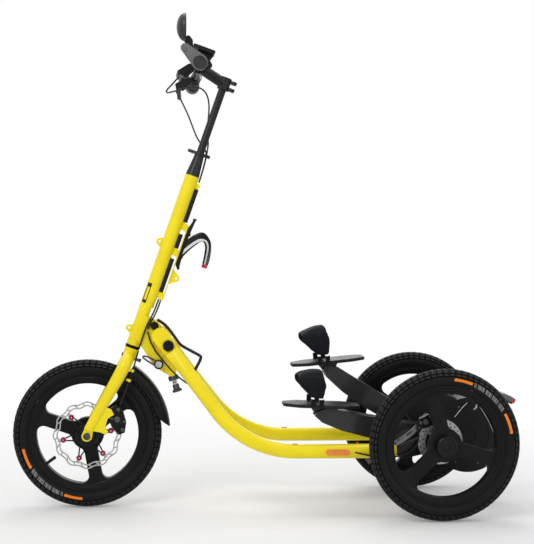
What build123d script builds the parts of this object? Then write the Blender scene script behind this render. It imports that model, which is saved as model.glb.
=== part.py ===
from build123d import *
import os
from math import cos, pi, radians, sin, tan

os.makedirs("parts", exist_ok=True)

# Overall layout: X rearward, Y to the rider's right, Z up, wheels standing on Z = 0.
wheel_radius = 200.0
tyre_section = 47.0
tyre_height = 42.0
wheelbase = 932.0
rear_track = 420.0
tail_overhang = 248.0

# The origin is on the floor under the middle of the machine's length.
front_x = wheel_radius - (wheel_radius + wheelbase + tail_overhang) / 2
rear_x = front_x + wheelbase
hub_z = wheel_radius
sides = {"left": -1, "right": 1}

# Heights on the frame are measured from a datum this far under the axles.
datum_drop = 200.0
datum_z = hub_z - datum_drop

# Clearances between mating pieces.
running_gap = 0.05
face_gap = 0.5

# Wheels.
rim_radius = wheel_radius - tyre_height
rim_depth = 22.0
rim_inner_radius = rim_radius - rim_depth
rim_width = 34.0
rim_lip = 9.0
tyre_seat_gap = 0.3
spoke_width = 36.0
spoke_thickness = 20.0
spoke_corner = 18.0
hub_window_radius = 44.0
front_spoke_angle = 161.0
rear_spoke_angle = 104.0
valve_angle = 217.0
valve_radius = 4.0
valve_length = 26.0

# Front hub, brake rotor and axle.
fork_end_inner = 50.0
fork_end_thickness = 7.0
fork_end_radius = 14.0
front_axle_radius = 6.0
axle_nut_radius = 9.0
axle_nut_height = 6.0
front_hub_radius = 22.0
front_rotor_y = -38.0
front_rotor_radius = 90.0
rotor_band = 13.0
rotor_thickness = 2.0
rotor_waves = 12
wave_depth = 5.0
rivet_circle_radius = 64.0
rivet_radius = 4.5
rivet_length = 7.0
spider_plate = 3.0
spider_hub_radius = 30.0
spider_arm_width = 7.0
first_rivet_angle = 11.0

# Steering column, in stations along the steering axis from hub height.
head_angle = 71.3
fork_rake = 37.0
ring_station = 248.0
ring_height = 8.0
ring_radius = 20.0
head_tube_top = 737.0
head_tube_radius = 19.0
steerer_radius = 14.0
collar_top = 795.0
collar_neck_radius = 13.0
post_radius = 10.5
post_top = 1014.0
leg_radius = 17.0
leg_end_radius = 11.0
leg_half_spread = 46.5
crown_station = 225.0
shoulder_station = 205.0

# Front fender: angles above rearward and radii from the front axle.
fender_start = 56.0
fender_end = 5.6
fender_radius = wheel_radius + 23.0
fender_edge_radius = wheel_radius + 7.0
fender_half = 31.0
fender_skin = 2.5

# Handlebar and what it carries, back from the steering axis and in stations.
bar_back = -78.0
bar_station = 1020.0
bar_radius = 11.1
bar_clamp_radius = 15.9
bar_centre_half = 50.0
bar_end_station = 994.0
bar_half_width = 282.0
stem_radius = 15.0
stem_clamp_radius = 16.0
stem_clamp_height = 34.0
stem_clamp_station = 1001.0
bar_clamp_half = 22.0
grip_length = 112.0
grip_radius = 15.0
horn_setback = 22.0
horn_thickness = 18.0
lever_setback = 144.0
lever_clamp_width = 12.0
blade_end_setback = 50.0
display_back = -82.0
display_station = 1067.0
mirror_setback = 121.0
mirror_head_x = 250.0
mirror_head_z = 1270.0

# Column fittings.
lug_eye_radius = 9.0
lug_bore_radius = 3.2
lug_thickness = 6.0
rail_back = 36.0
rail_thickness = 3.0
rail_start = 396.0
rail_end = 608.0
rail_pads = (401.0, 524.0, 597.0)
cover_back = 29.0
cover_spans = ((612.0, 706.0), (538.0, 578.0), (412.0, 508.0))
cover_half = 8.0
hook_height = 8.0
bottle_radius = 37.0
cage_wall = 4.0
cage_gap_half = 7.0
handle_radius = 3.8

# Fold joint, hinge block and latch, measured back from the front axle.
fold_pin_x = 177.0
fold_pin_z = 493.0
latch_x = 189.0
latch_z = 389.0
beam_bolt_x = 214.0
beam_bolt_z = 442.0
knob_seat_x = 224.0
knob_seat_z = 368.0
knob_tilt = 17.0
knob_gap = 0.2
knob_steps = ((14.0, 12.0), (6.0, 13.0), (9.0, 14.0), (13.0, 6.0))
web_half = 13.5
cheek_thickness = 10.0
cheek_eye_radius = 14.0
cheek_relief_radius = 41.0
fold_pin_radius = 8.0
latch_radius = 4.0
latch_eye_radius = 13.0
beam_bolt_radius = 9.0
barrel_radius = 20.0
beam_plate_inner = 40.0
beam_plate_thickness = 14.0
beam_plate_radius = 22.0
bolt_cap_radius = 15.0
bolt_cap_height = 5.0

# Side beams.
beam_radius = 19.0
beam_height = 171.0
beam_half_spread = 132.0
beam_bend_x = 422.0
beam_bend_radius = 260.0
beam_nose_x = 192.0
beam_nose_z = 467.0
beam_neck_x = 262.0
beam_end_setback = 114.0
beam_end_x = wheelbase - beam_end_setback
reflector_from_axle = 660.0
reflector_length = 64.0
reflector_height = 16.0

# Rear axle, carrier plates, brakes and drive housing.
axle_radius = 15.0
axle_half = 150.0
stub_radius = 8.0
stub_end = 232.0
rear_hub_radius = 27.0
rear_hub_inner = 186.0
rear_hub_outer = 239.0
rear_rotor_y = 160.0
rear_rotor_radius = 60.0
carrier_inner = 120.0
carrier_thickness = 24.0
carrier_eye_radius = 27.0
torque_arm_y = 147.0
torque_arm_thickness = 5.0
torque_arm_width = 15.0
drum_back = 108.0
drum_z = 196.0
drum_radius = 103.0
drum_half_width = 39.0
neck_radius = 34.0
lamp_length = 42.0
lamp_half_width = 24.0
lamp_setback = 22.0
lamp_height = 293.0
lamp_tilt = 24.0

# Pedal arms and pedals.
arm_y = 72.0
arm_width = 54.0
arm_length = 315.0
arm_angle = {"left": 11.5, "right": 31.6}
pedal_pitch = {"left": 1.75, "right": -6.05}
arm_boss_radius = 31.0
arm_bevel = 15.0
pedal_pin_radius = 6.0
pedal_eye_radius = 13.0
lug_width = 24.0
slot_depth = 45.0
sole_top = 28.0
sole_thickness = 9.0
sole_half_length = 103.0
sole_half_width = 47.0
pad_outer_half = 54.0
pad_wall = 17.0
pad_top = 118.0
pad_corner = 40.0


def side_plane(x, y, z, tilt=0.0):
    # A view from the rider's left: first axis rearward, second axis up, both tilted back.
    turn = radians(tilt)
    return Plane(origin=(x, y, z), x_dir=(cos(turn), 0, -sin(turn)), z_dir=(0, -1, 0))


def frame_side(y):
    # The same view with its origin on the datum under the front axle.
    return side_plane(front_x, y, datum_z)


foot_x = front_x + fork_rake / sin(radians(head_angle))
steer_dir = Vector(cos(radians(head_angle)), 0, sin(radians(head_angle)))
back_dir = Vector(sin(radians(head_angle)), 0, -cos(radians(head_angle)))
across = Vector(0, 1, 0)


def on_column(back, station, y=0.0):
    # A point from its distance behind the steering axis and its station along it.
    return Vector(foot_x, y, hub_z) + back_dir * back + steer_dir * station


def column_section(station):
    return Plane(origin=on_column(0, station), x_dir=back_dir, z_dir=steer_dir)


def column_side(y):
    return side_plane(foot_x, y, hub_z, 90.0 - head_angle)


def cross_plane(x, y, z):
    # A plane square to Y whose normal points to the rider's right.
    return Plane(origin=(x, y, z), x_dir=(1, 0, 0), z_dir=(0, 1, 0))


def radial_plane(x, y, angle=0.0):
    # Holds a wheel's axle: first axis outward at the angle above rearward, second along Y.
    turn = radians(angle)
    return Plane(origin=(x, y, hub_z), x_dir=(cos(turn), 0, sin(turn)), z_dir=(-sin(turn), 0, cos(turn)))


def wheel_axis(x):
    return Axis((x, 0, hub_z), (0, 1, 0))


def finish(piece, name):
    piece.part.label = name
    export_step(piece.part, f"parts/{name}.step")


def make_tyre(x, y):
    section_radius = tyre_section / 2
    with BuildPart() as tyre:
        with BuildSketch(radial_plane(x, y)):
            with Locations((wheel_radius - section_radius, 0)):
                Circle(section_radius)
            with Locations((rim_radius + tyre_seat_gap, 0)):
                Rectangle(tyre_section, tyre_section, align=(Align.MAX, Align.CENTER), mode=Mode.SUBTRACT)
        revolve(axis=wheel_axis(x))
    return tyre


def make_wheel(x, y, spoke_angle, hub_steps, bore_radius, bore_end):
    # Moulded rim and three broad spokes; each hub step is (radius, from y, to y).
    with BuildPart() as wheel:
        with BuildSketch(side_plane(x, y, hub_z)):
            Circle(rim_inner_radius + 4)
        extrude(amount=spoke_thickness / 2, both=True)
        with BuildSketch(side_plane(x, y, hub_z)) as windows:
            Circle(rim_inner_radius)
            Circle(hub_window_radius, mode=Mode.SUBTRACT)
            with PolarLocations(0, 3, start_angle=spoke_angle):
                Rectangle(rim_radius, spoke_width, align=(Align.MIN, Align.CENTER), mode=Mode.SUBTRACT)
            fillet(windows.vertices(), spoke_corner)
        extrude(amount=spoke_thickness, both=True, mode=Mode.SUBTRACT)
        with BuildSketch(radial_plane(x, y)):
            with BuildLine():
                Polyline(
                    (rim_inner_radius, -rim_width / 2 + rim_lip / 2),
                    (rim_radius - rim_lip, -rim_width / 2),
                    (rim_radius, -rim_width / 2),
                    (rim_radius, rim_width / 2),
                    (rim_radius - rim_lip, rim_width / 2),
                    (rim_inner_radius, rim_width / 2 - rim_lip / 2),
                    close=True,
                )
            make_face()
        revolve(axis=wheel_axis(x))
        for radius, start, end in hub_steps:
            with BuildSketch(cross_plane(x, start, hub_z)):
                Circle(radius)
            extrude(amount=end - start)
        with BuildSketch(cross_plane(x, bore_end, hub_z)):
            Circle(bore_radius)
        extrude(amount=-2 * bore_end, mode=Mode.SUBTRACT)
        valve_turn = radians(valve_angle)
        valve_way = Vector(cos(valve_turn), 0, sin(valve_turn))
        valve_foot = Vector(x, y, hub_z) + valve_way * (rim_inner_radius - valve_length)
        with BuildSketch(Plane(origin=valve_foot, x_dir=(0, 1, 0), z_dir=valve_way)):
            Circle(valve_radius)
        extrude(amount=valve_length + rim_lip)
    return wheel


# Front wheel: tyre, moulded wheel, floating brake rotor and its riveted spider.
front_tyre = make_tyre(front_x, 0)
finish(front_tyre, "front_tyre")

spider_inner = front_rotor_y + rotor_thickness / 2 + spider_plate
front_hub_half = fork_end_inner - face_gap
front_wheel = make_wheel(
    front_x,
    0,
    front_spoke_angle,
    [(front_hub_radius, spider_inner, front_hub_half)],
    front_axle_radius + running_gap,
    2 * front_hub_half,
)
finish(front_wheel, "front_wheel")

wave_middle = front_rotor_radius - wave_depth / 2
link_start = wave_middle - rotor_band
with BuildPart() as front_rotor:
    with BuildSketch(side_plane(front_x, front_rotor_y, hub_z)):
        Circle(wave_middle)
        with PolarLocations(wave_middle - rotor_band / 2, rotor_waves):
            Circle((rotor_band + wave_depth) / 2)
        with PolarLocations(front_rotor_radius + 2 * wave_depth, rotor_waves, 180 / rotor_waves):
            Circle(3 * wave_depth, mode=Mode.SUBTRACT)
        Circle(front_rotor_radius - rotor_band - wave_depth / 2, mode=Mode.SUBTRACT)
        with PolarLocations(wave_middle - rotor_band / 2, 2 * rotor_waves, start_angle=90 / rotor_waves):
            with Locations(Rotation(0, 0, 62)):
                SlotOverall(10, 3, mode=Mode.SUBTRACT)
    extrude(amount=rotor_thickness / 2, both=True)
    with BuildSketch(side_plane(front_x, front_rotor_y, hub_z)):
        with PolarLocations((rivet_circle_radius + link_start) / 2, 6, first_rivet_angle):
            Rectangle(link_start - rivet_circle_radius + 9, 8)
        with PolarLocations(rivet_circle_radius, 6, start_angle=first_rivet_angle):
            Circle(rivet_radius + 3)
            Circle(rivet_radius + face_gap, mode=Mode.SUBTRACT)
    extrude(amount=rotor_thickness / 2, both=True)
finish(front_rotor, "front_rotor")

with BuildPart() as rotor_spider:
    with BuildSketch(cross_plane(front_x, front_rotor_y + rotor_thickness / 2, hub_z)):
        Circle(spider_hub_radius)
        with PolarLocations(0, 6, start_angle=-first_rivet_angle):
            Rectangle(rivet_circle_radius, spider_arm_width, align=(Align.MIN, Align.CENTER))
        with PolarLocations(rivet_circle_radius, 6, start_angle=-first_rivet_angle):
            Circle(rivet_radius + 2)
        Circle(front_axle_radius + running_gap, mode=Mode.SUBTRACT)
    extrude(amount=spider_plate)
    with BuildSketch(cross_plane(front_x, front_rotor_y + rotor_thickness / 2, hub_z)):
        Circle(front_hub_radius)
        Circle(front_axle_radius + running_gap, mode=Mode.SUBTRACT)
    extrude(amount=-(front_hub_half + front_rotor_y + rotor_thickness / 2))
    with BuildSketch(cross_plane(front_x, front_rotor_y + rotor_thickness / 2, hub_z)):
        with PolarLocations(rivet_circle_radius, 6, start_angle=-first_rivet_angle):
            Circle(rivet_radius)
    extrude(amount=-rivet_length + spider_plate)
finish(rotor_spider, "rotor_spider")

# Rear wheels, each with its brake rotor on a sleeve inside the hub.
for side, hand in sides.items():
    wheel_y = hand * rear_track / 2
    rear_tyre = make_tyre(rear_x, wheel_y)
    finish(rear_tyre, f"rear_tyre_{side}")
    rear_wheel = make_wheel(
        rear_x,
        wheel_y,
        rear_spoke_angle,
        [
            (rear_hub_radius, hand * rear_hub_inner, hand * rear_hub_outer),
            (rear_hub_radius - 7, hand * (rear_rotor_y + rotor_thickness / 2), hand * rear_hub_inner),
        ],
        stub_radius + running_gap,
        hand * (stub_end + face_gap),
    )
    finish(rear_wheel, f"rear_wheel_{side}")
    with BuildPart() as rear_rotor:
        with BuildSketch(cross_plane(rear_x, hand * (rear_rotor_y - rotor_thickness / 2), hub_z)):
            Circle(rear_rotor_radius)
            Circle(rear_rotor_radius - 20, mode=Mode.SUBTRACT)
            with PolarLocations(rear_rotor_radius - 6, 24):
                Circle(2.2, mode=Mode.SUBTRACT)
            with PolarLocations(rear_rotor_radius - 14, 24, start_angle=7.5):
                Circle(2.2, mode=Mode.SUBTRACT)
            Circle(rear_hub_radius - 7)
            with PolarLocations(0, 5):
                Rectangle(rear_rotor_radius - 15, 7, align=(Align.MIN, Align.CENTER))
            Circle(stub_radius + running_gap, mode=Mode.SUBTRACT)
        extrude(amount=hand * rotor_thickness)
    finish(rear_rotor, f"rear_rotor_{side}")

# Fork: two swept legs from one crown, with flat ends round the axle.
leg_end_y = fork_end_inner + fork_end_thickness
leg_end_half = fork_end_thickness - face_gap
with BuildPart() as fork:
    with BuildSketch(column_section(crown_station - 6)):
        Circle(head_tube_radius)
    extrude(amount=ring_station - ring_height / 2 - crown_station + 6)
    with BuildSketch(column_section(ring_station - ring_height / 2)):
        Circle(steerer_radius)
    extrude(amount=head_tube_top - ring_station + ring_height / 2)
    for hand in sides.values():
        leg_top = on_column(0, crown_station, 0)
        leg_shoulder = on_column(-3, shoulder_station, hand * leg_half_spread)
        leg_mid = on_column(-10, 160, hand * (leg_half_spread + 1))
        leg_foot = Vector(front_x + 3, hand * leg_end_y, hub_z + 16)
        with BuildLine() as shoulder_path:
            FilletPolyline(leg_top, leg_shoulder, leg_mid, radius=28)
        with BuildSketch(Plane(shoulder_path.line @ 0, z_dir=shoulder_path.line % 0)):
            Circle(leg_radius)
        sweep(path=shoulder_path.line)
        leg_way = shoulder_path.line % 1
        with BuildSketch(Plane(leg_mid, x_dir=across, z_dir=leg_way)) as upper_section:
            Circle(leg_radius)
        with BuildSketch(Plane(leg_foot, x_dir=across, z_dir=(leg_foot - leg_mid).normalized())):
            Ellipse(leg_end_half, leg_end_radius + 1)
        loft()
        end_plane = cross_plane(front_x, hand * fork_end_inner, hub_z)
        with BuildSketch(end_plane):
            with BuildSketch(mode=Mode.PRIVATE) as eyes:
                Circle(fork_end_radius)
                with Locations((10, -34)):
                    Circle(leg_end_radius - 2)
            make_hull(eyes.edges())
            Circle(front_axle_radius + running_gap, mode=Mode.SUBTRACT)
        extrude(amount=hand * fork_end_thickness)
    with BuildSketch(side_plane(front_x, -fork_end_inner, hub_z)):
        with BuildLine():
            Polyline(
                (16, 14),
                (34, 11),
                (50, 5),
                (56, 12),
                (48, 24),
                (55, 47),
                (71, 58),
                (64, 72),
                (30, 84),
                close=True,
            )
        make_face()
    extrude(amount=fork_end_thickness)
finish(fork, "fork")

with BuildPart() as headset_ring:
    with BuildSketch(column_section(ring_station - ring_height / 2)):
        Circle(ring_radius)
        Circle(steerer_radius + running_gap, mode=Mode.SUBTRACT)
    extrude(amount=ring_height)
finish(headset_ring, "headset_ring")

with BuildPart() as front_axle:
    with BuildSketch(cross_plane(front_x, -fork_end_inner - fork_end_thickness - axle_nut_height, hub_z)):
        Circle(front_axle_radius)
    extrude(amount=2 * (fork_end_inner + fork_end_thickness + axle_nut_height))
    for hand in sides.values():
        with BuildSketch(cross_plane(front_x, hand * (fork_end_inner + fork_end_thickness), hub_z)):
            Circle(axle_nut_radius)
        extrude(amount=hand * axle_nut_height)
finish(front_axle, "front_axle")

with BuildPart() as front_caliper:
    with BuildSketch(side_plane(front_x, front_rotor_y + 14, hub_z)):
        with BuildLine():
            Polyline(
                (58, 40),
                (62, 74),
                (78, 82),
                (92, 76),
                (104, 34),
                (100, 8),
                (84, 2),
                (66, 22),
                close=True,
            )
        make_face()
    extrude(amount=fork_end_inner + front_rotor_y + 14 - face_gap)
    with BuildSketch(side_plane(front_x, front_rotor_y - rotor_thickness / 2 - 2, hub_z)):
        Circle(front_rotor_radius + 4)
    extrude(amount=-rotor_thickness - 4, mode=Mode.SUBTRACT)
finish(front_caliper, "front_caliper")

with BuildPart() as front_fender:
    with BuildSketch(radial_plane(front_x, 0, fender_start)):
        with BuildLine():
            outer = ThreePointArc(
                (fender_edge_radius, -fender_half),
                (fender_radius, 0),
                (fender_edge_radius, fender_half),
            )
            inner = ThreePointArc(
                (fender_edge_radius, fender_half - fender_skin),
                (fender_radius - fender_skin, 0),
                (fender_edge_radius, -fender_half + fender_skin),
            )
            Line(outer @ 1, inner @ 0)
            Line(inner @ 1, outer @ 0)
        make_face()
    revolve(axis=wheel_axis(front_x), revolution_arc=fender_start - fender_end)
    with BuildSketch(side_plane(front_x, 0, hub_z)):
        with BuildLine():
            Polyline((196, 43), (fender_radius, 19), (fender_radius, 0), (180, 0), (180, 43), close=True)
        make_face()
    extrude(amount=2 * fender_half, both=True, mode=Mode.SUBTRACT)
finish(front_fender, "front_fender")

# Head tube with the two cheeks of the fold joint.
web_gap = web_half + face_gap
with BuildPart() as head_tube:
    with BuildSketch(column_section(ring_station + ring_height / 2 + face_gap)):
        Circle(head_tube_radius)
    extrude(amount=head_tube_top - ring_station - ring_height / 2 - face_gap)
    with BuildSketch(frame_side(0)):
        with BuildSketch(mode=Mode.PRIVATE) as cheek_ends:
            with Locations((fold_pin_x, fold_pin_z)):
                Circle(cheek_eye_radius)
            with Locations((latch_x, latch_z)):
                Circle(latch_eye_radius)
            with Locations((148, 520), (128, 462)):
                Circle(2)
        make_hull(cheek_ends.edges())
        with Locations((beam_bolt_x, beam_bolt_z)):
            Circle(cheek_relief_radius, mode=Mode.SUBTRACT)
        with Locations((fold_pin_x, fold_pin_z)):
            Circle(fold_pin_radius + running_gap, mode=Mode.SUBTRACT)
        with Locations((latch_x, latch_z)):
            Circle(latch_radius + running_gap, mode=Mode.SUBTRACT)
    extrude(amount=web_gap + cheek_thickness, both=True)
    with BuildSketch(frame_side(0)):
        with BuildLine():
            Polyline((160, 540), (160, 440), (140, 400), (140, 340), (260, 340), (260, 540), close=True)
        make_face()
    extrude(amount=web_gap, both=True, mode=Mode.SUBTRACT)
    with BuildSketch(column_section(ring_station - ring_height)):
        Circle(steerer_radius + running_gap)
    extrude(amount=head_tube_top, mode=Mode.SUBTRACT)
finish(head_tube, "head_tube")

# Hinge block: a web between the cheeks and a barrel between the two beams.
with BuildPart() as hinge_block:
    with BuildSketch(frame_side(0)):
        with BuildSketch(mode=Mode.PRIVATE) as block_ends:
            with Locations((fold_pin_x, fold_pin_z)):
                Circle(latch_eye_radius)
            with Locations((latch_x, latch_z)):
                Circle(latch_eye_radius)
            with Locations((knob_seat_x, knob_seat_z)):
                Circle(latch_eye_radius)
            with Locations((beam_bolt_x, beam_bolt_z)):
                Circle(barrel_radius)
        make_hull(block_ends.edges())
        with Locations((fold_pin_x, fold_pin_z)):
            Circle(fold_pin_radius + running_gap, mode=Mode.SUBTRACT)
    extrude(amount=web_half, both=True)
    with BuildSketch(frame_side(0)):
        with Locations((beam_bolt_x, beam_bolt_z)):
            Circle(barrel_radius)
    extrude(amount=beam_plate_inner, both=True)
    with BuildSketch(frame_side(0)):
        with Locations((beam_bolt_x, beam_bolt_z)):
            Circle(beam_bolt_radius)
        with Locations((latch_x, latch_z)):
            Circle(latch_radius + face_gap)
            Rectangle(60, 2 * (latch_radius + face_gap), align=(Align.MAX, Align.CENTER))
    extrude(amount=2 * beam_plate_inner, both=True, mode=Mode.SUBTRACT)
finish(hinge_block, "hinge_block")

cheek_outer = web_gap + cheek_thickness
with BuildPart() as hinge_pins:
    with BuildSketch(frame_side(-cheek_outer - face_gap)):
        with Locations((fold_pin_x, fold_pin_z)):
            Circle(fold_pin_radius)
    extrude(amount=-2 * (cheek_outer + face_gap))
    for hand in sides.values():
        with BuildSketch(frame_side(hand * (cheek_outer + face_gap))):
            with Locations((fold_pin_x, fold_pin_z)):
                Circle(fold_pin_radius + 3)
        extrude(amount=-hand * 5)
    with BuildSketch(frame_side(-beam_plate_inner - beam_plate_thickness)):
        with Locations((beam_bolt_x, beam_bolt_z)):
            Circle(beam_bolt_radius)
    extrude(amount=-2 * (beam_plate_inner + beam_plate_thickness))
    for hand in sides.values():
        with BuildSketch(frame_side(hand * (beam_plate_inner + beam_plate_thickness))):
            with Locations((beam_bolt_x, beam_bolt_z)):
                Circle(bolt_cap_radius)
        extrude(amount=-hand * bolt_cap_height)
finish(hinge_pins, "hinge_pins")

knob_turn = radians(knob_tilt)
knob_way = Vector(sin(knob_turn), 0, -cos(knob_turn))
knob_seat = Vector(front_x + knob_seat_x, 0, datum_z + knob_seat_z)
knob_top = knob_seat + knob_way * (latch_eye_radius + knob_gap)
with BuildPart() as lock_knob:
    step_top = knob_top
    for radius, length in knob_steps:
        with BuildSketch(Plane(origin=step_top, x_dir=(0, 1, 0), z_dir=knob_way)):
            Circle(radius)
        extrude(amount=length)
        step_top = step_top + knob_way * length
finish(lock_knob, "lock_knob")

with BuildPart() as quick_release:
    with BuildSketch(frame_side(-cheek_outer - 10)):
        with Locations((latch_x, latch_z)):
            Circle(latch_radius)
    extrude(amount=-2 * (cheek_outer + 10))
    for hand, radius in ((-1, 9), (1, 8)):
        with BuildSketch(frame_side(hand * cheek_outer)):
            with Locations((latch_x, latch_z)):
                Circle(radius)
        extrude(amount=-hand * 10)
    with BuildSketch(frame_side(-cheek_outer - 3)):
        with BuildLine():
            Polyline((186, 395), (158, 410), (148, 408), (156, 401), (184, 384), close=True)
        make_face()
    extrude(amount=6)
finish(quick_release, "quick_release")

# Side beams: a flat nose plate running into a bent round tube.
beam_slope = (beam_nose_z - beam_height) / (beam_bend_x - beam_nose_x)
nose_end_x = beam_neck_x - 22
nose_end_z = beam_nose_z - beam_slope * (nose_end_x - beam_nose_x)
plate_middle = beam_plate_inner + beam_plate_thickness / 2


def beam_point(x, hand):
    # A point on the sloping run of a beam, which spreads outward from the hinge.
    share = (x - beam_bolt_x) / (beam_bend_x - beam_bolt_x)
    y = hand * (plate_middle + share * (beam_half_spread - plate_middle))
    return Vector(front_x + x, y, datum_z + beam_nose_z - beam_slope * (x - beam_nose_x))


beams = {}
for side, hand in sides.items():
    neck = beam_point(beam_neck_x, hand)
    bend = Vector(front_x + beam_bend_x, hand * beam_half_spread, datum_z + beam_height)
    end = Vector(front_x + beam_end_x, hand * beam_half_spread, datum_z + beam_height)
    with BuildPart() as beam:
        with BuildLine() as beam_path:
            FilletPolyline(neck, bend, end, radius=beam_bend_radius)
        with BuildSketch(Plane(neck, x_dir=across, z_dir=beam_path.line % 0)):
            Circle(beam_radius)
        sweep(path=beam_path.line)
        with BuildSketch(Plane(neck, x_dir=across, z_dir=beam_path.line % 0)):
            Circle(beam_radius)
        shoulder = beam_point(beam_neck_x - 38, hand)
        with BuildSketch(Plane(shoulder, x_dir=across, z_dir=beam_path.line % 0)):
            RectangleRounded(beam_plate_thickness + 8, 2 * beam_plate_radius - 2, 6)
        loft()
        with BuildSketch(frame_side(hand * beam_plate_inner)):
            with BuildSketch(mode=Mode.PRIVATE) as nose:
                with Locations((beam_nose_x, beam_nose_z)):
                    Circle(beam_plate_radius)
                with Locations((nose_end_x, nose_end_z)):
                    Circle(beam_radius)
            make_hull(nose.edges())
        extrude(amount=-hand * beam_plate_thickness)
        with BuildSketch(frame_side(0)):
            with Locations((beam_bolt_x, beam_bolt_z)):
                Circle(beam_bolt_radius)
        extrude(amount=3 * beam_plate_inner, both=True, mode=Mode.SUBTRACT)
    beams[side] = beam
    finish(beam, f"beam_{side}")

with BuildPart() as lift_handle:
    with BuildLine() as handle_path:
        FilletPolyline(
            (front_x + 188, 0, datum_z + 516),
            (front_x + 216, 0, datum_z + 489),
            (front_x + 250, 0, datum_z + 440),
            (front_x + 306, 0, datum_z + 411),
            (front_x + 284, 0, datum_z + 364),
            radius=9,
        )
    with BuildSketch(Plane(handle_path.line @ 0, z_dir=handle_path.line % 0)):
        Circle(handle_radius)
    sweep(path=handle_path.line)
    with BuildSketch(frame_side(0)):
        with Locations((284, 362)):
            Circle(5)
    extrude(amount=beam_half_spread / 2, both=True)
    for side in sides:
        add(beams[side].part, mode=Mode.SUBTRACT)
finish(lift_handle, "lift_handle")

reflector_x = front_x + reflector_from_axle
reflector_end_x = reflector_x - reflector_length / 2 - 8
with BuildPart() as beam_reflectors:
    for hand in sides.values():
        reflector_y = hand * (beam_half_spread + beam_radius - 4)
        with BuildSketch(side_plane(reflector_x, reflector_y, datum_z + beam_height)):
            SlotOverall(reflector_length, reflector_height)
        extrude(amount=-hand * 7)
        beam_centre = (reflector_end_x, hand * beam_half_spread, datum_z + beam_height)
        with BuildSketch(Plane(origin=beam_centre, z_dir=(1, 0, 0))):
            Circle(beam_radius)
        extrude(amount=reflector_length + 16, mode=Mode.SUBTRACT)
finish(beam_reflectors, "beam_reflectors")

# Rear carrier plates join the beams to the axle tube.
carrier_foot = beam_end_x + beam_radius + face_gap
with BuildPart() as rear_carriers:
    for hand in sides.values():
        with BuildSketch(frame_side(hand * carrier_inner)):
            with BuildSketch(mode=Mode.PRIVATE) as carrier_ends:
                with Locations((carrier_foot, beam_height)):
                    Circle(beam_radius)
                with Locations((wheelbase, datum_drop)):
                    Circle(carrier_eye_radius)
            make_hull(carrier_ends.edges())
            with Locations((wheelbase, datum_drop)):
                Circle(axle_radius, mode=Mode.SUBTRACT)
        extrude(amount=-hand * carrier_thickness)
finish(rear_carriers, "rear_carriers")

with BuildPart() as axle_tube:
    with BuildSketch(cross_plane(rear_x, -axle_half, hub_z)):
        Circle(axle_radius)
    extrude(amount=2 * axle_half)
    with BuildSketch(cross_plane(rear_x, -stub_end, hub_z)):
        Circle(stub_radius)
    extrude(amount=2 * stub_end)
finish(axle_tube, "axle_tube")

with BuildPart() as torque_arms:
    for hand in sides.values():
        with BuildSketch(frame_side(hand * torque_arm_y)):
            with BuildLine() as arm_curve:
                Spline((wheelbase - 120, 193), (wheelbase - 74, 224), (wheelbase - 34, 270))
            trace(arm_curve.line, line_width=torque_arm_width)
        extrude(amount=-hand * torque_arm_thickness)
finish(torque_arms, "torque_arms")

with BuildPart() as rear_calipers:
    for hand in sides.values():
        with BuildSketch(side_plane(rear_x, hand * (rear_rotor_y - 8), hub_z)):
            with BuildLine():
                Polyline((-48, 36), (-22, 46), (-16, 62), (-34, 74), (-58, 62), (-66, 44), close=True)
            make_face()
        extrude(amount=-hand * 20)
        with BuildSketch(side_plane(rear_x, hand * (rear_rotor_y - rotor_thickness / 2 - 2), hub_z)):
            Circle(rear_rotor_radius + 3)
        extrude(amount=-hand * (rotor_thickness + 4), mode=Mode.SUBTRACT)
finish(rear_calipers, "rear_calipers")

lamp_end_x = wheelbase + tail_overhang
with BuildPart() as tail_light:
    with BuildSketch(side_plane(front_x + lamp_end_x - lamp_setback, 0, datum_z + lamp_height, lamp_tilt)):
        RectangleRounded(lamp_length, 19, 5)
    extrude(amount=lamp_half_width, both=True)
finish(tail_light, "tail_light")

drum_x = wheelbase + drum_back
with BuildPart() as drive_housing:
    with BuildSketch(frame_side(0)):
        with Locations((drum_x, drum_z)):
            Circle(drum_radius)
    extrude(amount=drum_half_width, both=True)
    with BuildSketch(frame_side(0)):
        with BuildSketch(mode=Mode.PRIVATE) as neck_ends:
            with Locations((wheelbase, datum_drop)):
                Circle(neck_radius)
            with Locations((drum_x, drum_z)):
                Circle(drum_radius - 8)
        make_hull(neck_ends.edges())
    extrude(amount=drum_half_width - 6, both=True)
    with BuildSketch(frame_side(0)):
        with Locations((wheelbase, datum_drop)):
            Circle(axle_radius)
    extrude(amount=2 * drum_half_width, both=True, mode=Mode.SUBTRACT)
    with BuildSketch(frame_side(0)):
        with BuildLine():
            Polyline(
                (drum_x + 40, 280),
                (drum_x + 54, 260),
                (lamp_end_x - 30, 284),
                (lamp_end_x - 30, 300),
                (lamp_end_x - 48, 306),
                close=True,
            )
        make_face()
    extrude(amount=12, both=True)
    add(tail_light.part, mode=Mode.SUBTRACT)
finish(drive_housing, "drive_housing")

# Column top: collar, post, stem and bar.
with BuildPart() as steering_post:
    with BuildSketch(column_section(head_tube_top + face_gap)):
        Circle(head_tube_radius)
    with BuildSketch(column_section(collar_top)):
        Circle(collar_neck_radius)
    loft()
    with BuildSketch(column_section(collar_top)):
        Circle(post_radius)
    extrude(amount=post_top - collar_top)
finish(steering_post, "steering_post")

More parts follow.
